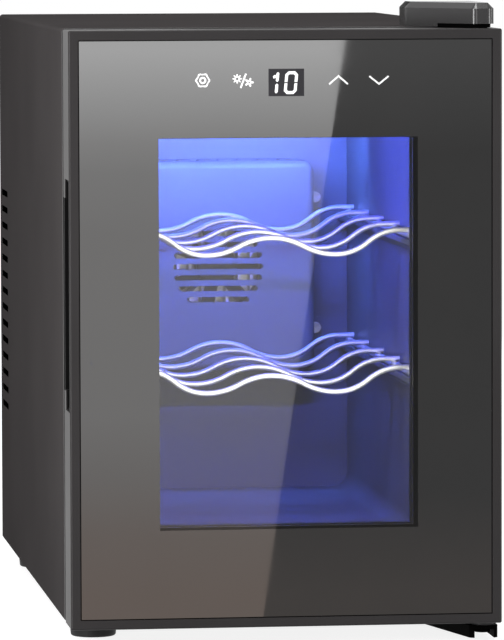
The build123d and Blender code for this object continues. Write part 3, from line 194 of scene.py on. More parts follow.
# Reflector in front of the door
CARD_DEPTH = -2247.5
CARD_LOW, CARD_HIGH = -290.0, 420.0  # ends of the colour ramps
CARD_SIDES = (-340.0, 860.0)
CARD_LEVELS = (-640.0, 710.0)
CARD_FADE = 380.0  # the edges melt into the room over this width
CARD_STOPS = (  # height, radiance, warmth
    (-212.0, 1.0, 0.22),
    (-155.0, 1.06, 0.16),
    (-99.0, 1.27, 0.05),
    (-43.0, 1.5, 0.02),
    (126.0, 1.57, 0.02),
    (183.0, 1.77, 0.01),
    (211.0, 2.08, 0.01),
    (239.0, 2.6, 0.0),
    (267.0, 3.1, 0.0),
    (295.0, 3.65, 0.0),
)
CARD_BRIGHTEST = CARD_STOPS[-1][1]
DIM_STOPS = ((-212.0, 0.46, 0.1), (-120.0, 0.37, 0.0), (200.0, 0.37, 0.0), (295.0, 0.56, 0.0))
SPLIT_X, SPLIT_Z = 315.4, 304.7  # a point on the slanted edge of the card
SPLIT_SLOPE = 0.1458

# Flags behind the casing
FLAG_DEPTH = 420.0
FLAGS = {  # left, right, low and high
    "low_flag": (-90.0, 70.0, 300.0, 366.0),
    "high_flag": (20.0, 120.0, 420.0, 540.0),
}

# Floor
FLOOR_SIZE = 14.0  # metres
FLOOR_COLOUR = 0.36
FLOOR_DARKER = 0.99
FLOOR_GLOW = 0.86
FLOOR_PATCH = 3.0
FLOOR_DETAIL = 3.0
FLOOR_ROUGH = 0.9


def point(x, y, z):
    return Vector((x, y, z)) * MM


# Node helpers
def start(name):
    """New material with its tree and its shader."""
    made = bpy.data.materials.new(name)
    made.use_nodes = True
    return made, made.node_tree, made.node_tree.nodes["Principled BSDF"]


def feed(tree, socket, value):
    """Plain value for a socket, or a link from another socket."""
    if isinstance(value, bpy.types.NodeSocket):
        tree.links.new(value, socket)
    else:
        socket.default_value = value


def coordinates(tree, stretch=(1.0, 1.0, 1.0)):
    source = tree.nodes.new("ShaderNodeTexCoord")
    mapping = tree.nodes.new("ShaderNodeMapping")
    mapping.inputs["Scale"].default_value = stretch
    tree.links.new(source.outputs["Object"], mapping.inputs["Vector"])
    return mapping.outputs["Vector"]


def split(tree, place):
    """Sockets X, Y and Z of a place."""
    axes = tree.nodes.new("ShaderNodeSeparateXYZ")
    tree.links.new(place, axes.inputs["Vector"])
    return axes.outputs


def noise(tree, place, scale, detail):
    texture = tree.nodes.new("ShaderNodeTexNoise")
    texture.inputs["Scale"].default_value = scale
    texture.inputs["Detail"].default_value = detail
    tree.links.new(place, texture.inputs["Vector"])
    return texture.outputs["Fac"]


def cells(tree, place, scale):
    texture = tree.nodes.new("ShaderNodeTexVoronoi")
    texture.inputs["Scale"].default_value = scale
    tree.links.new(place, texture.inputs["Vector"])
    return texture.outputs["Distance"]


def between(tree, value, low, high, start_at=NOISE_LOW, end_at=NOISE_HIGH, smooth=False):
    """Value stretched from one range to another."""
    spread = tree.nodes.new("ShaderNodeMapRange")
    spread.interpolation_type = "SMOOTHSTEP" if smooth else "LINEAR"
    spread.inputs["From Min"].default_value = start_at
    spread.inputs["From Max"].default_value = end_at
    spread.inputs["To Min"].default_value = low
    spread.inputs["To Max"].default_value = high
    tree.links.new(value, spread.inputs["Value"])
    return spread.outputs["Result"]


def calculate(tree, operation, *values):
    maths = tree.nodes.new("ShaderNodeMath")
    maths.operation = operation
    for socket, value in zip(maths.inputs, values):
        feed(tree, socket, value)
    return maths.outputs["Value"]


def mixed(tree, share, first, second):
    """First colour where the share is nought, second where it is one."""
    mix = tree.nodes.new("ShaderNodeMix")
    mix.data_type = "RGBA"
    tree.links.new(share, mix.inputs["Factor"])
    feed(tree, mix.inputs["A"], first)
    feed(tree, mix.inputs["B"], second)
    return mix.outputs["Result"]


def tint(tree, value, dark, light):
    """Colour that goes from dark to light over the usual range of a noise."""
    ramp = tree.nodes.new("ShaderNodeValToRGB")
    ramp.color_ramp.elements[0].position = NOISE_LOW
    ramp.color_ramp.elements[0].color = (*dark, 1.0)
    ramp.color_ramp.elements[1].position = NOISE_HIGH
    ramp.color_ramp.elements[1].color = (*light, 1.0)
    tree.links.new(value, ramp.inputs["Fac"])
    return ramp.outputs["Color"]


def raised(tree, value, height):
    """Relief of a height in millimetres."""
    relief = tree.nodes.new("ShaderNodeBump")
    relief.inputs["Distance"].default_value = height * MM
    tree.links.new(value, relief.inputs["Height"])
    return relief.outputs["Normal"]


def finish(
    name, dark, light, rough, patch=PATCH, grain=900.0, relief=0.03,
    stretch=(1.0, 1.0, 1.0), metal=0.0, shine=0.5,
):
    """Surface with drifting colour and gloss from a coarse noise, and relief from a fine one."""
    made, tree, shader = start(name)
    place = coordinates(tree, stretch)
    drift = noise(tree, place, patch, PATCH_DETAIL)
    fine = noise(tree, place, grain, GRAIN_DETAIL)
    tree.links.new(tint(tree, drift, dark, light), shader.inputs["Base Color"])
    tree.links.new(between(tree, drift, *rough), shader.inputs["Roughness"])
    tree.links.new(raised(tree, fine, relief), shader.inputs["Normal"])
    shader.inputs["Metallic"].default_value = metal
    shader.inputs["Specular IOR Level"].default_value = shine
    return made


# Materials
def casing_paint():
    """Dark powder coat with a fine orange peel."""
    return finish(
        "casing_paint", dark=PAINT_DARK, light=PAINT_LIGHT, rough=PAINT_ROUGH,
        grain=PAINT_GRAIN, relief=PAINT_RELIEF, shine=0.0,
    )


def shell_paint():
    """Powder coat, with painted shade inside the vents near the back: every face behind the outer skin there
    is painted near black.
    """
    made, tree, shader = start("shell_paint")
    place = coordinates(tree)
    axes = split(tree, place)
    sideways = calculate(tree, "ABSOLUTE", axes["X"])
    unshaded = calculate(tree, "GREATER_THAN", sideways, (SHELL_HALF - SHELL_SKIN) * MM)
    for axis, (low, high) in (("Y", VENT_DEPTHS), ("Z", VENT_LEVELS)):
        past = calculate(tree, "GREATER_THAN", axes[axis], high * MM)
        short = calculate(tree, "LESS_THAN", axes[axis], low * MM)
        unshaded = calculate(tree, "MAXIMUM", unshaded, calculate(tree, "MAXIMUM", past, short))
    drift = noise(tree, place, PATCH, PATCH_DETAIL)
    fine = noise(tree, place, PAINT_GRAIN, GRAIN_DETAIL)
    paint = tint(tree, drift, PAINT_DARK, PAINT_LIGHT)
    # Painted shade near black inside the vents behind the outer skin, the powder coat everywhere else
    tree.links.new(mixed(tree, unshaded, (*VENT_PAINTED_SHADE, 1.0), paint), shader.inputs["Base Color"])
    tree.links.new(between(tree, drift, *PAINT_ROUGH), shader.inputs["Roughness"])
    tree.links.new(raised(tree, fine, PAINT_RELIEF), shader.inputs["Normal"])
    shader.inputs["Specular IOR Level"].default_value = 0.0
    return made


def black_plastic():
    return finish(
        "black_plastic", dark=(0.022, 0.021, 0.022), light=(0.03, 0.029, 0.03), rough=(0.42, 0.54),
        grain=1400.0, relief=0.03, shine=0.3,
    )


def cap_plastic():
    """Smoother moulding of the hinge cover."""
    return finish(
        "cap_plastic", dark=(0.014, 0.013, 0.0138), light=(0.018, 0.0168, 0.0176), rough=(0.17, 0.21),
        grain=1500.0, relief=0.004, shine=0.58,
    )


def mouth_plastic():
    """Satin black ring round the mouth of the cavity, darker than its own plastic as painted shade where it
    shows through the side grip's scoop.
    """
    return finish(
        "mouth_plastic", dark=(0.004, 0.0039, 0.004), light=(0.006, 0.0058, 0.006), rough=(0.16, 0.2),
        grain=1400.0, relief=0.003, shine=0.1,
    )


def grip_plastic():
    """Matt black plastic of the side grip, darkened well below its own colour as painted shade in the
    recess.
    """
    return finish(
        "grip_plastic", dark=(0.002, 0.002, 0.002), light=(0.004, 0.004, 0.004), rough=(0.6, 0.7),
        grain=1400.0, relief=0.02, shine=0.05,
    )


def door_plastic():
    """Satin moulding with a spark-eroded grain."""
    return finish(
        "door_plastic", dark=(0.0165, 0.0147, 0.0152), light=(0.021, 0.0188, 0.0194), rough=(0.4, 0.48),
        grain=1600.0, relief=0.01, shine=0.22,
    )


def liner_plastic():
    return finish(
        "liner_plastic", dark=(0.07, 0.076, 0.082), light=(0.094, 0.1, 0.108), rough=(0.4, 0.52),
        patch=14.0, grain=110.0, relief=0.015, shine=0.3,
    )


def foam():
    """Rigid foam with open cells."""
    made, tree, shader = start("foam")
    place = coordinates(tree)
    bubbles = cells(tree, place, FOAM_CELLS)
    drift = noise(tree, place, FOAM_PATCH, PATCH_DETAIL)
    colour = tint(tree, drift, dark=(0.62, 0.5, 0.27), light=(0.78, 0.68, 0.43))
    tree.links.new(colour, shader.inputs["Base Color"])
    tree.links.new(between(tree, drift, low=0.82, high=0.95), shader.inputs["Roughness"])
    tree.links.new(raised(tree, bubbles, FOAM_RELIEF), shader.inputs["Normal"])
    return made


def pane(name, colour, ior):
    """Clear sheet glass with faint smears in its gloss."""
    made, tree, shader = start(name)
    drift = noise(tree, coordinates(tree, SMEAR_STRETCH), SMEAR_SCALE, SMEAR_DETAIL)
    tree.links.new(between(tree, drift, 0.0, SMEAR_ROUGH), shader.inputs["Roughness"])
    shader.inputs["Base Color"].default_value = (*colour, 1.0)
    shader.inputs["Transmission Weight"].default_value = 1.0
    shader.inputs["IOR"].default_value = ior
    return made


def front_glass():
    """Smoked pane of the door's front."""
    return pane("front_glass", (0.62, 0.605, 0.605), ior=1.5)


def inner_glass():
    """Clear pane with a low reflection."""
    return pane("inner_glass", (0.95, 0.97, 0.96), ior=1.1)


def ink():
    """Glossy black print on the glass."""
    made, tree, shader = start("ink")
    drift = noise(tree, coordinates(tree), INK_PATCH, INK_DETAIL)
    colour = tint(tree, drift, dark=(0.003, 0.003, 0.003), light=(0.005, 0.0045, 0.0045))
    tree.links.new(colour, shader.inputs["Base Color"])
    tree.links.new(between(tree, drift, 0.0, INK_ROUGH), shader.inputs["Roughness"])
    shader.inputs["IOR"].default_value = INK_IOR
    return made


def film():
    """Anti-glare film over the display."""
    return finish(
        "film", dark=(0.03, 0.029, 0.033), light=(0.038, 0.0365, 0.041), rough=(0.6, 0.7),
        patch=60.0, grain=2400.0, relief=0.01, shine=0.1,
    )


def glow(name, dark, light, strength, scale):
    """Lit surface whose light is a little uneven."""
    made, tree, shader = start(name)
    drift = noise(tree, coordinates(tree), scale, GLOW_DETAIL)
    colour = tint(tree, drift, dark, light)
    tree.links.new(colour, shader.inputs["Base Color"])
    tree.links.new(colour, shader.inputs["Emission Color"])
    shader.inputs["Emission Strength"].default_value = strength
    shader.inputs["Roughness"].default_value = GLOW_ROUGH
    return made


def lit_sign():
    return glow("lit_sign", (0.55, 0.55, 0.55), (0.62, 0.62, 0.62), SIGN_STRENGTH, SIGN_PATCH)


def lit_digit():
    return glow("lit_digit", (0.58, 0.58, 0.58), (0.64, 0.64, 0.64), SIGN_STRENGTH, SIGN_PATCH)


def lamp_lens():
    return glow("lamp_lens", (0.2, 0.22, 0.9), (0.3, 0.32, 1.0), LENS_STRENGTH, LENS_PATCH)


def spacer_metal():
    """Black anodised bar."""
    return finish(
        "spacer_metal", dark=(0.004, 0.004, 0.005), light=(0.008, 0.008, 0.009), rough=(0.4, 0.5),
        patch=40.0, grain=1200.0, relief=0.01, shine=0.15,
    )


def gasket_rubber():
    return finish(
        "gasket_rubber", dark=(0.02, 0.02, 0.02), light=(0.032, 0.032, 0.033), rough=(0.6, 0.75),
        grain=500.0, relief=0.05, shine=0.3,
    )


def foot_rubber():
    return finish(
        "foot_rubber", dark=(0.009, 0.009, 0.009), light=(0.016, 0.016, 0.016), rough=(0.5, 0.7),
        grain=600.0, relief=0.06, shine=0.25,
    )


def zinc_steel():
    """Bright zinc with the drift of its crystals."""
    return finish(
        "zinc_steel", dark=(0.5, 0.5, 0.48), light=(0.66, 0.66, 0.63), rough=(0.28, 0.42),
        patch=180.0, grain=1800.0, relief=0.01, metal=1.0,
    )


def bracket_steel():
    """Steel in a flat black coat, darkened below real black paint as painted shade where the bracket lies in
    shadow under the door.
    """
    return finish(
        "bracket_steel", dark=(0.0018, 0.0017, 0.0017), light=(0.003, 0.0028, 0.0028), rough=(0.5, 0.6),
        grain=800.0, relief=0.01, shine=0.004,
    )


def shelf_wire():
    """Bright plated wire."""
    return finish(
        "shelf_wire", dark=(0.93, 0.93, 0.93), light=(0.97, 0.97, 0.97), rough=(0.42, 0.5),
        patch=60.0, grain=900.0, relief=0.008, metal=1.0,
    )


def sink_aluminium():
    """Extruded metal with lines along the fins."""
    return finish(
        "sink_aluminium", dark=(0.55, 0.56, 0.57), light=(0.74, 0.75, 0.76), rough=(0.28, 0.44),
        patch=60.0, grain=700.0, relief=0.02, stretch=(1.0, 1.0, 0.03), metal=1.0,
    )


def circuit_board():
    """Green lacquer over copper lines."""
    made, tree, shader = start("circuit_board")
    place = coordinates(tree)
    lines = tree.nodes.new("ShaderNodeTexBrick")
    lines.inputs["Scale"].default_value = BOARD_LINES
    lines.inputs["Mortar Size"].default_value = BOARD_LINE_WIDTH
    lines.inputs["Color1"].default_value = (0.008, 0.09, 0.03, 1.0)
    lines.inputs["Color2"].default_value = (0.012, 0.11, 0.04, 1.0)
    lines.inputs["Mortar"].default_value = (0.03, 0.2, 0.08, 1.0)
    tree.links.new(place, lines.inputs["Vector"])
    tree.links.new(lines.outputs["Color"], shader.inputs["Base Color"])
    tree.links.new(raised(tree, lines.outputs["Fac"], BOARD_RELIEF), shader.inputs["Normal"])
    drift = noise(tree, place, BOARD_PATCH, BOARD_DETAIL)
    tree.links.new(between(tree, drift, low=0.25, high=0.4), shader.inputs["Roughness"])
    return made


def component():
    return finish(
        "component", dark=(0.03, 0.03, 0.034), light=(0.055, 0.055, 0.06), rough=(0.35, 0.5), patch=70.0
    )


def nylon():
    return finish(
        "nylon", dark=(0.62, 0.61, 0.56), light=(0.74, 0.73, 0.69), rough=(0.38, 0.5),
        patch=40.0, grain=700.0, relief=0.02,
    )


def contact_brass():
    return finish(
        "contact_brass", dark=(0.6, 0.43, 0.17), light=(0.78, 0.6, 0.28), rough=(0.22, 0.36),
        patch=160.0, relief=0.008, metal=1.0,
    )


def module_ceramic():
    return finish(
        "module_ceramic", dark=(0.72, 0.72, 0.69), light=(0.85, 0.85, 0.82), rough=(0.5, 0.62),
        patch=60.0, grain=1500.0, relief=0.01,
    )


finishes = {
    "casing_paint": casing_paint(),
    "black_plastic": black_plastic(),
    "door_plastic": door_plastic(),
    "liner_plastic": liner_plastic(),
    "foam": foam(),
    "front_glass": front_glass(),
    "inner_glass": inner_glass(),
    "spacer_metal": spacer_metal(),
    "gasket_rubber": gasket_rubber(),
    "foot_rubber": foot_rubber(),
    "zinc_steel": zinc_steel(),
    "bracket_steel": bracket_steel(),
    "shelf_wire": shelf_wire(),
    "sink_aluminium": sink_aluminium(),
    "circuit_board": circuit_board(),
    "component": component(),
    "nylon": nylon(),
    "contact_brass": contact_brass(),
    "lamp_lens": lamp_lens(),
    "module_ceramic": module_ceramic(),
}
own_finishes = {
    "outer_shell": shell_paint(),
    "hinge_cap": cap_plastic(),
    "front_frame": mouth_plastic(),
    "handle_cup": grip_plastic(),
}


def dress_nodes():
    """Every CAD node takes the finish of its slot, or its own."""
    for row in frame["record"]["subparts"]:
        name = row["node"]
        look = own_finishes.get(name, finishes[row["material_slot"]])
        for place in frame["nodes"][name].material_slots:
            place.material = look


# Outlines
def rectangle(left, right, low, high):
    return [(left, low), (right, low), (right, high), (left, high)]


def closed_curve(place, radius):
    """Outline round a place, with a radius for each angle."""
    turns = [2 * math.pi * step / ROUND_STEPS for step in range(ROUND_STEPS)]
    return [(place[0] + radius(a) * math.cos(a), place[1] + radius(a) * math.sin(a)) for a in turns]


def band(path, width):
    """Outline of a stroke of even width along a path, with mitred corners."""
    points = [Vector(p) for p in path]
    ways = [(b - a).normalized() for a, b in zip(points, points[1:])]
    left, right = [], []
    for index, corner in enumerate(points):
        before = ways[max(index - 1, 0)]
        after = ways[min(index, len(ways) - 1)]
        across = Vector((-before.y - after.y, before.x + after.x)).normalized()
        reach = width / 2 / across.dot(Vector((-after.y, after.x)))
        left.append(tuple(corner + across * reach))
        right.append(tuple(corner - across * reach))
    return left + right[::-1]


def toothed(middle, swing, count, sharp):
    """Radius of a wheel with round teeth."""
    return lambda angle: middle + swing * math.tanh(sharp * math.cos(count * angle)) / math.tanh(sharp)


def even(radius):
    return lambda angle: radius


def six_sided(radius):
    """Radius of a hexagon with corners left and right, given to the middle of its sides."""
    side = math.pi / 3
    return lambda angle: radius / math.cos(angle % side - side / 2)


def cross(reach, width):
    half = width / 2
    quarter = [(reach, -half), (reach, half), (half, half)]
    corners = []
    for turn in range(4):
        for x, y in quarter:
            for _ in range(turn):
                x, y = -y, x
            corners.append((x, y))
    return corners


# Flat meshes and objects
def flat_mesh(outlines, thickness, rounding=0.0):
    """Mesh of a flat shape about Z = 0. Outlines are closed runs of points, and inner ones are holes."""
    curve = bpy.data.curves.new("flat", "CURVE")
    curve.dimensions = "2D"
    curve.fill_mode = "BOTH"
    curve.extrude = (thickness / 2 - rounding) * MM
    curve.bevel_depth = rounding * MM
    curve.bevel_resolution = ROUND_CUTS
    curve.offset = -rounding * MM
    for outline in outlines:
        spline = curve.splines.new("POLY")
        spline.points.add(len(outline) - 1)
        for corner, (x, y) in zip(spline.points, outline):
            corner.co = (x * MM, y * MM, 0.0, 1.0)
        spline.use_cyclic_u = True
    drawn = bpy.data.objects.new("flat", curve)
    mesh = bpy.data.meshes.new_from_object(drawn)
    bpy.data.objects.remove(drawn)
    bpy.data.curves.remove(curve)
    return mesh


def add_object(name, mesh, look):
    mesh.name = name
    mesh.materials.clear()
    mesh.materials.append(look)
    made = bpy.data.objects.new(name, mesh)
    bpy.context.scene.collection.objects.link(made)
    return made


def plate(name, outlines, front, back, look):
    """Sheet on the door between two depths, from outlines in X and Z."""
    mesh = flat_mesh(outlines, back - front)
    upright = Matrix.Rotation(math.radians(90), 4, "X")
    mesh.transform(Matrix.Translation(point(0, (front + back) / 2, 0)) @ upright)
    made = add_object(name, mesh, look)
    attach(made, "door")


# Print, signs and display
def build_print():
    inset = PRINT_INSET
    outer = rectangle(GLASS_LOW.x + inset, GLASS_HIGH.x - inset, GLASS_LOW.z + inset, GLASS_HIGH.z - inset)
    window = rectangle(WINDOW_LEFT, WINDOW_RIGHT, WINDOW_FLOOR, WINDOW_CEILING)
    plate("glass_print", [outer, window], INK_FRONT, INK_FRONT + INK, ink())


def build_signs():
    gear = [
        closed_curve(GEAR_PLACE, toothed(*GEAR_WHEEL)),
        closed_curve(GEAR_PLACE, six_sided(GEAR_HEXAGON)),
        closed_curve(GEAR_PLACE, even(GEAR_RING)),
        closed_curve(GEAR_PLACE, even(GEAR_HOLE)),
    ]
    sun = [closed_curve(SUN_PLACE, toothed(*SUN_WHEEL)), closed_curve(SUN_PLACE, even(SUN_HOLE))]
    blades = [closed_curve(FAN_PLACE, toothed(*FAN_WHEEL)), closed_curve(FAN_PLACE, even(FAN_HOLE))]
    lit = lit_sign()
    for name, outlines in (
        ("sign_settings", gear),
        ("sign_light", sun),
        ("sign_divider", [band(SLASH, SLASH_WIDTH)]),
        ("sign_fan", blades),
        ("sign_up", [band(UP_ARROW, ARROW_WIDTH)]),
        ("sign_down", [band(DOWN_ARROW, ARROW_WIDTH)]),
    ):
        plate(name, outlines, INK_FRONT - SIGN_SHEET, INK_FRONT, lit)


def leaning(outline):
    """Outline pushed sideways with its height, as the digits lean."""
    return [(x + DIGIT_SLANT * (z - DIGIT_MIDDLE), z) for x, z in outline]


def segment(start_at, end_at):
    """Bar of a digit with pointed ends."""
    a, b = Vector(start_at), Vector(end_at)
    way = (b - a).normalized()
    side = Vector((-way.y, way.x)) * DIGIT_STROKE / 2
    tip = way * DIGIT_STROKE / 2
    a, b = a + way * SEGMENT_GAP, b - way * SEGMENT_GAP
    return leaning([a, a + tip + side, b - tip + side, b, b - tip - side, a + tip - side])


def half_zero(start_at, end_at):
    """Upper or lower half of a nought, with cut corners."""
    cut = math.copysign(DIGIT_CHAMFER, end_at - start_at)
    left, right = ZERO_LEFT, ZERO_RIGHT
    path = [
        (left, start_at), (left, end_at - cut), (left + DIGIT_CHAMFER, end_at),
        (right - DIGIT_CHAMFER, end_at), (right, end_at - cut), (right, start_at),
    ]
    return leaning(band(path, DIGIT_STROKE))


def build_display():
    face = rectangle(FILM_LEFT, FILM_RIGHT, FILM_LOW, FILM_HIGH)
    film_front = INK_FRONT - FILM
    plate("display_film", [face], film_front, INK_FRONT, film())
    inset = DIGIT_STROKE / 2
    zero = [
        half_zero(DIGIT_MIDDLE + SEGMENT_GAP, DIGIT_HIGH - inset),
        half_zero(DIGIT_MIDDLE - SEGMENT_GAP, DIGIT_LOW + inset),
    ]
    flag = [(ONE_X + x, DIGIT_MIDDLE + z) for x, z in ONE_FLAG]
    one = [
        segment((ONE_X, DIGIT_LOW), (ONE_X, DIGIT_MIDDLE)),
        segment((ONE_X, DIGIT_MIDDLE), (ONE_X, DIGIT_HIGH)),
        segment(*flag),
    ]
    lit = lit_digit()
    plate("digit_one", one, film_front - DIGIT_SHEET, film_front, lit)
    plate("digit_zero", zero, film_front - DIGIT_SHEET, film_front, lit)


def build_grip_shade_sheets():
    """Black sheets of painted shade on the back wall of the side grip, above and below the scoop."""
    strips = [rectangle(SHADE_SHEET_LEFT, SHADE_SHEET_RIGHT, low, high) for low, high in SHADE_SHEET_STRIPS]
    back = SHADE_SHEET_DEPTH - SHADE_SHEET_GAP
    plate("grip_shade_sheets", strips, back - SHADE_SHEET_THICKNESS, back, own_finishes["handle_cup"])


# Screws with crossed heads
def solids_of(node):
    """Points of each solid of a CAD node, in millimetres."""
    work = bmesh.new()
    work.from_mesh(frame["nodes"][node].data)
    bmesh.ops.remove_doubles(work, verts=work.verts, dist=WELD * MM)
    solids = []
    for first in work.verts:
        if first.tag:
            continue
        first.tag = True
        waiting, found = [first], []
        while waiting:
            corner = waiting.pop()
            found.append(corner.co / MM)
            for edge in corner.link_edges:
                other = edge.other_vert(corner)
                if not other.tag:
                    other.tag = True
                    waiting.append(other)
        solids.append(found)
    work.free()
    return solids


def disc(outlines, low, high, rounding=0.0):
    """Mesh of a flat shape between two heights, with rounded edges."""
    mesh = flat_mesh(outlines, high - low, rounding)
    mesh.transform(Matrix.Translation(point(0, 0, (low + high) / 2)))
    return mesh


def screw_sizes(points, axis):
    """Middle of the seat, way out of the head, and the sizes of the head and the shank."""
    others = [side for side in range(3) if side != axis]
    middle = Vector((0.0, 0.0, 0.0))
    for side in others:
        middle[side] = (min(p[side] for p in points) + max(p[side] for p in points)) / 2
    reach = [math.hypot(*(p[side] - middle[side] for side in others)) for p in points]
    head = max(reach)
    levels = [p[axis] for p in points]
    wide = [level for level, r in zip(levels, reach) if r > WIDE_SHARE * head]
    out = 1.0 if max(levels) - max(wide) < min(wide) - min(levels) else -1.0
    face = max(levels) if out > 0 else min(levels)
    tip = min(levels) if out > 0 else max(levels)
    seat = min(wide) if out > 0 else max(wide)
    shank = max(r for level, r in zip(levels, reach) if abs(level - tip) < abs(seat - tip) / 2)
    middle[axis] = seat
    way = Vector((0.0, 0.0, 0.0))
    way[axis] = out
    return middle, way, head, abs(face - seat), shank, abs(seat - tip)


def build_screws(node, axis, slot):
    """Screws in the places of a CAD node, with a cross cut into each head."""
    whole = bmesh.new()
    for points in solids_of(node):
        middle, way, head, height, shank, length = screw_sizes(points, axis)
        floor = height * (1 - RECESS_DEPTH)
        rim = closed_curve((0, 0), even(head))
        cut = cross(RECESS_REACH * head, RECESS_WIDTH * head)
        pieces = [
            disc([rim, cut], floor, height, HEAD_ROUND * height),
            disc([rim], 0, floor),
            disc([closed_curve((0, 0), even(shank))], -length, 0),
        ]
        turn = way.to_track_quat("Z", "Y").to_matrix().to_4x4()
        for mesh in pieces:
            mesh.transform(Matrix.Translation(middle * MM) @ turn)
            whole.from_mesh(mesh)
            bpy.data.meshes.remove(mesh)
    name = "crossed_" + node
    mesh = bpy.data.meshes.new(name)
    whole.to_mesh(mesh)
    whole.free()
    made = add_object(name, mesh, finishes[slot])
    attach(made, "cabinet")
    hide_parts(node)


def build_all_screws():
    for node, axis, slot in (
        ("back_panel_screws", DEPTH_AXIS, "zinc_steel"),
        ("hot_fan_screws", DEPTH_AXIS, "zinc_steel"),
        ("fan_cover_screws", DEPTH_AXIS, "zinc_steel"),
        ("bottom_hinge_screws", HEIGHT_AXIS, "bracket_steel"),
        ("foot_screws", HEIGHT_AXIS, "zinc_steel"),
    ):
        build_screws(node, axis, slot)


# Camera
def set_camera():
    ahead = Vector((
        math.sin(CAMERA_YAW) * math.cos(CAMERA_PITCH),
        math.cos(CAMERA_YAW) * math.cos(CAMERA_PITCH),
        -math.sin(CAMERA_PITCH),
    ))
    level = Vector((math.cos(CAMERA_YAW), -math.sin(CAMERA_YAW), 0.0))
    over = level.cross(ahead)
    right = math.cos(CAMERA_ROLL) * level + math.sin(CAMERA_ROLL) * over
    up = math.cos(CAMERA_ROLL) * over - math.sin(CAMERA_ROLL) * level
    turn = Matrix((right, up, -ahead)).transposed().to_4x4()
    lens = bpy.data.cameras.new("camera")
    lens.sensor_fit = "AUTO"
    lens.sensor_width = SENSOR
    lens.lens = FOCAL_PIXELS * SENSOR / IMAGE_HEIGHT
    lens.clip_end = FARTHEST
    camera = bpy.data.objects.new("camera", lens)
    camera.matrix_world = Matrix.Translation(point(*CAMERA_PLACE)) @ turn
    bpy.context.scene.collection.objects.link(camera)
    bpy.context.scene.camera = camera


# Light
def soft_lamp(name, place, aim, width, height, power, colour=WHITE):
    light = bpy.data.lights.new(name, "AREA")
    light.shape = "RECTANGLE"
    light.size = width * MM
    light.size_y = height * MM
    light.energy = power
    light.color = colour
    lamp = bpy.data.objects.new(name, light)
    way = point(*aim) - point(*place)
    lamp.matrix_world = Matrix.Translation(point(*place)) @ way.to_track_quat("-Z", "Y").to_matrix().to_4x4()
    lamp.visible_camera = False
    bpy.context.scene.collection.objects.link(lamp)
    return lamp


def set_world():
    """White to the eye and in gloss and glass, softer as light on the object."""
    world = bpy.data.worlds.new("studio")
    world.use_nodes = True
    tree = world.node_tree
    rays = tree.nodes.new("ShaderNodeLightPath")
    seen = rays.outputs["Is Camera Ray"]
    for kind in ("Is Glossy Ray", "Is Transmission Ray"):
        seen = calculate(tree, "MAXIMUM", seen, rays.outputs[kind])
    strength = between(tree, seen, AMBIENT, 1.0, 0.0, 1.0)
    tree.links.new(strength, tree.nodes["Background"].inputs["Strength"])
    tree.nodes["Background"].inputs["Color"].default_value = (*WHITE, 1.0)
    bpy.context.scene.world = world


def light_cavity():
    """Blue light from the ceiling, more of it on the rear wall, and a little white from the window."""
    lens_low, lens_high = (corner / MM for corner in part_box("led_lens"))
    middle = (lens_low + lens_high) / 2
    lamp_place = (middle.x, middle.y, lens_low.z - LAMP_DROP)
    soft_lamp("cavity_lamp", lamp_place, LAMP_AIM, LAMP_LENGTH, LAMP_WIDTH, LAMP_POWER, LAMP_COLOUR)
    soft_lamp(
        "rear_lamp", REAR_LAMP_PLACE, REAR_LAMP_AIM, REAR_LAMP_LENGTH, REAR_LAMP_WIDTH, REAR_LAMP_POWER,
        REAR_LAMP_COLOUR,
    )
    window_x = (WINDOW_LEFT + WINDOW_RIGHT) / 2
    window_z = (WINDOW_FLOOR + WINDOW_CEILING) / 2
    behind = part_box("door_gasket")[1].y / MM
    soft_lamp(
        "window_fill", (window_x, behind, window_z), (window_x, 0, window_z),
        WINDOW_RIGHT - WINDOW_LEFT, WINDOW_CEILING - WINDOW_FLOOR, FILL_POWER,
    )


def set_light():
    set_world()
    for name, place, aim, width, height, power in LAMPS:
        lamp = soft_lamp(name, place, aim, width, height, power)
        lamp.visible_glossy = name not in NO_GLOSS
        lamp.visible_diffuse = name not in ONLY_GLOSS
    light_cavity()


# Stage
def sheet(name, corners, look):
    mesh = bpy.data.meshes.new(name)
    mesh.from_pydata(corners, [], [tuple(range(len(corners)))])
    made = add_object(name, mesh, look)
    return made


def card_ramp(tree, rise, stops):
    """Light of the card for each height, warmer where a stop says so."""
    bright = tree.nodes.new("ShaderNodeValToRGB")
    ramp = bright.color_ramp
    while len(ramp.elements) < len(stops):
        ramp.elements.new(0.5)
    for element, (z, value, warmth) in zip(ramp.elements, stops):
        level = value / CARD_BRIGHTEST
        element.position = (z - CARD_LOW) / (CARD_HIGH - CARD_LOW)
        element.color = (level * (1 + warmth), level, level * (1 - warmth / 2), 1.0)
    tree.links.new(rise, bright.inputs["Fac"])
    return bright.outputs["Color"]


def card_cover(tree, value, ends):
    """One in the middle of the card, falling to nothing at two of its edges."""
    middle = (ends[0] + ends[1]) / 2
    half = (ends[1] - ends[0]) / 2
    reach = calculate(tree, "ABSOLUTE", calculate(tree, "SUBTRACT", value, middle * MM))
    return between(tree, reach, 1.0, 0.0, (half - CARD_FADE) * MM, half * MM, smooth=True)


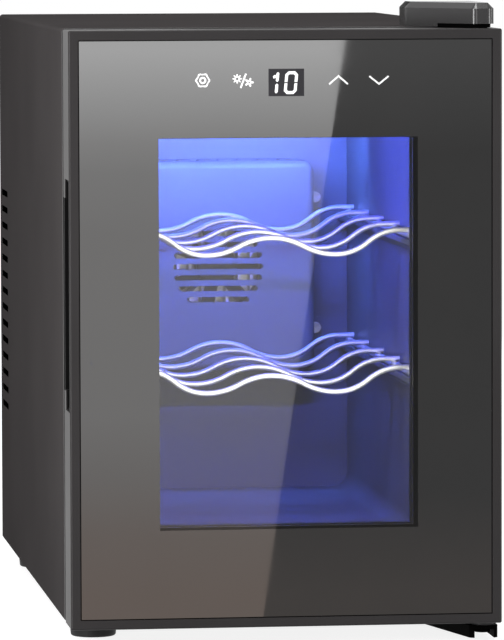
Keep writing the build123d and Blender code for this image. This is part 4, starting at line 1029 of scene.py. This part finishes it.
def card_look():
    """Reflector that is brightest at its top and dim beyond a slanted edge."""
    made, tree, shader = start("card")
    tree.nodes.remove(shader)
    axes = split(tree, coordinates(tree))
    rise = between(tree, axes["Z"], 0.0, 1.0, CARD_LOW * MM, CARD_HIGH * MM)
    lit = card_ramp(tree, rise, CARD_STOPS)
    dim = card_ramp(tree, rise, DIM_STOPS)
    slanted = calculate(tree, "MULTIPLY_ADD", axes["Z"], -SPLIT_SLOPE, axes["X"])
    beyond = calculate(tree, "GREATER_THAN", slanted, (SPLIT_X - SPLIT_SLOPE * SPLIT_Z) * MM)
    lamp = tree.nodes.new("ShaderNodeEmission")
    lamp.inputs["Strength"].default_value = CARD_BRIGHTEST
    tree.links.new(mixed(tree, beyond, lit, dim), lamp.inputs["Color"])
    cover_x = card_cover(tree, axes["X"], CARD_SIDES)
    cover_z = card_cover(tree, axes["Z"], CARD_LEVELS)
    clear = tree.nodes.new("ShaderNodeBsdfTransparent")
    blend = tree.nodes.new("ShaderNodeMixShader")
    tree.links.new(calculate(tree, "MULTIPLY", cover_x, cover_z), blend.inputs["Fac"])
    tree.links.new(clear.outputs["BSDF"], blend.inputs[1])
    tree.links.new(lamp.outputs["Emission"], blend.inputs[2])
    tree.links.new(blend.outputs["Shader"], tree.nodes["Material Output"].inputs["Surface"])
    return made


def hang_card():
    """Reflector in front of the door, which only gloss and glass see."""
    corners = [point(x, CARD_DEPTH, z) for x, z in rectangle(*CARD_SIDES, *CARD_LEVELS)]
    card = sheet("card", corners, card_look())
    card.visible_camera = False
    card.visible_diffuse = False
    card.visible_shadow = False


def hang_flags():
    """Black flags behind the casing, which only gloss sees, for the side of the hinge cover."""
    made, _, shader = start("flag")
    shader.inputs["Base Color"].default_value = (0.0, 0.0, 0.0, 1.0)
    shader.inputs["Specular IOR Level"].default_value = 0.0
    for name, sides in FLAGS.items():
        corners = [point(x, FLAG_DEPTH, z) for x, z in rectangle(*sides)]
        flag = sheet(name, corners, made)
        flag.visible_camera = False
        flag.visible_diffuse = False
        flag.visible_transmission = False
        flag.visible_shadow = False


def lay_floor():
    """Pale floor that keeps the shadow under the object."""
    made, tree, shader = start("floor")
    drift = noise(tree, coordinates(tree), FLOOR_PATCH, FLOOR_DETAIL)
    pale = tint(tree, drift, (FLOOR_COLOUR * FLOOR_DARKER,) * 3, (FLOOR_COLOUR,) * 3)
    tree.links.new(pale, shader.inputs["Base Color"])
    shader.inputs["Roughness"].default_value = FLOOR_ROUGH
    shader.inputs["Specular IOR Level"].default_value = 0.0
    rays = tree.nodes.new("ShaderNodeLightPath")
    lift = between(tree, rays.outputs["Is Camera Ray"], 0.0, FLOOR_GLOW, 0.0, 1.0)
    shader.inputs["Emission Color"].default_value = (*WHITE, 1.0)
    tree.links.new(lift, shader.inputs["Emission Strength"])
    half = FLOOR_SIZE / 2
    corners = [(x, y, 0.0) for x, y in rectangle(-half, half, -half, half)]
    floor = sheet("floor", corners, made)
    floor.visible_glossy = False
    floor.visible_transmission = False


dress_nodes()
build_print()
build_signs()
build_display()
build_grip_shade_sheets()
build_all_screws()
set_camera()
set_light()
hang_card()
hang_flags()
lay_floor()
bpy.context.scene.view_settings.view_transform = "Standard"
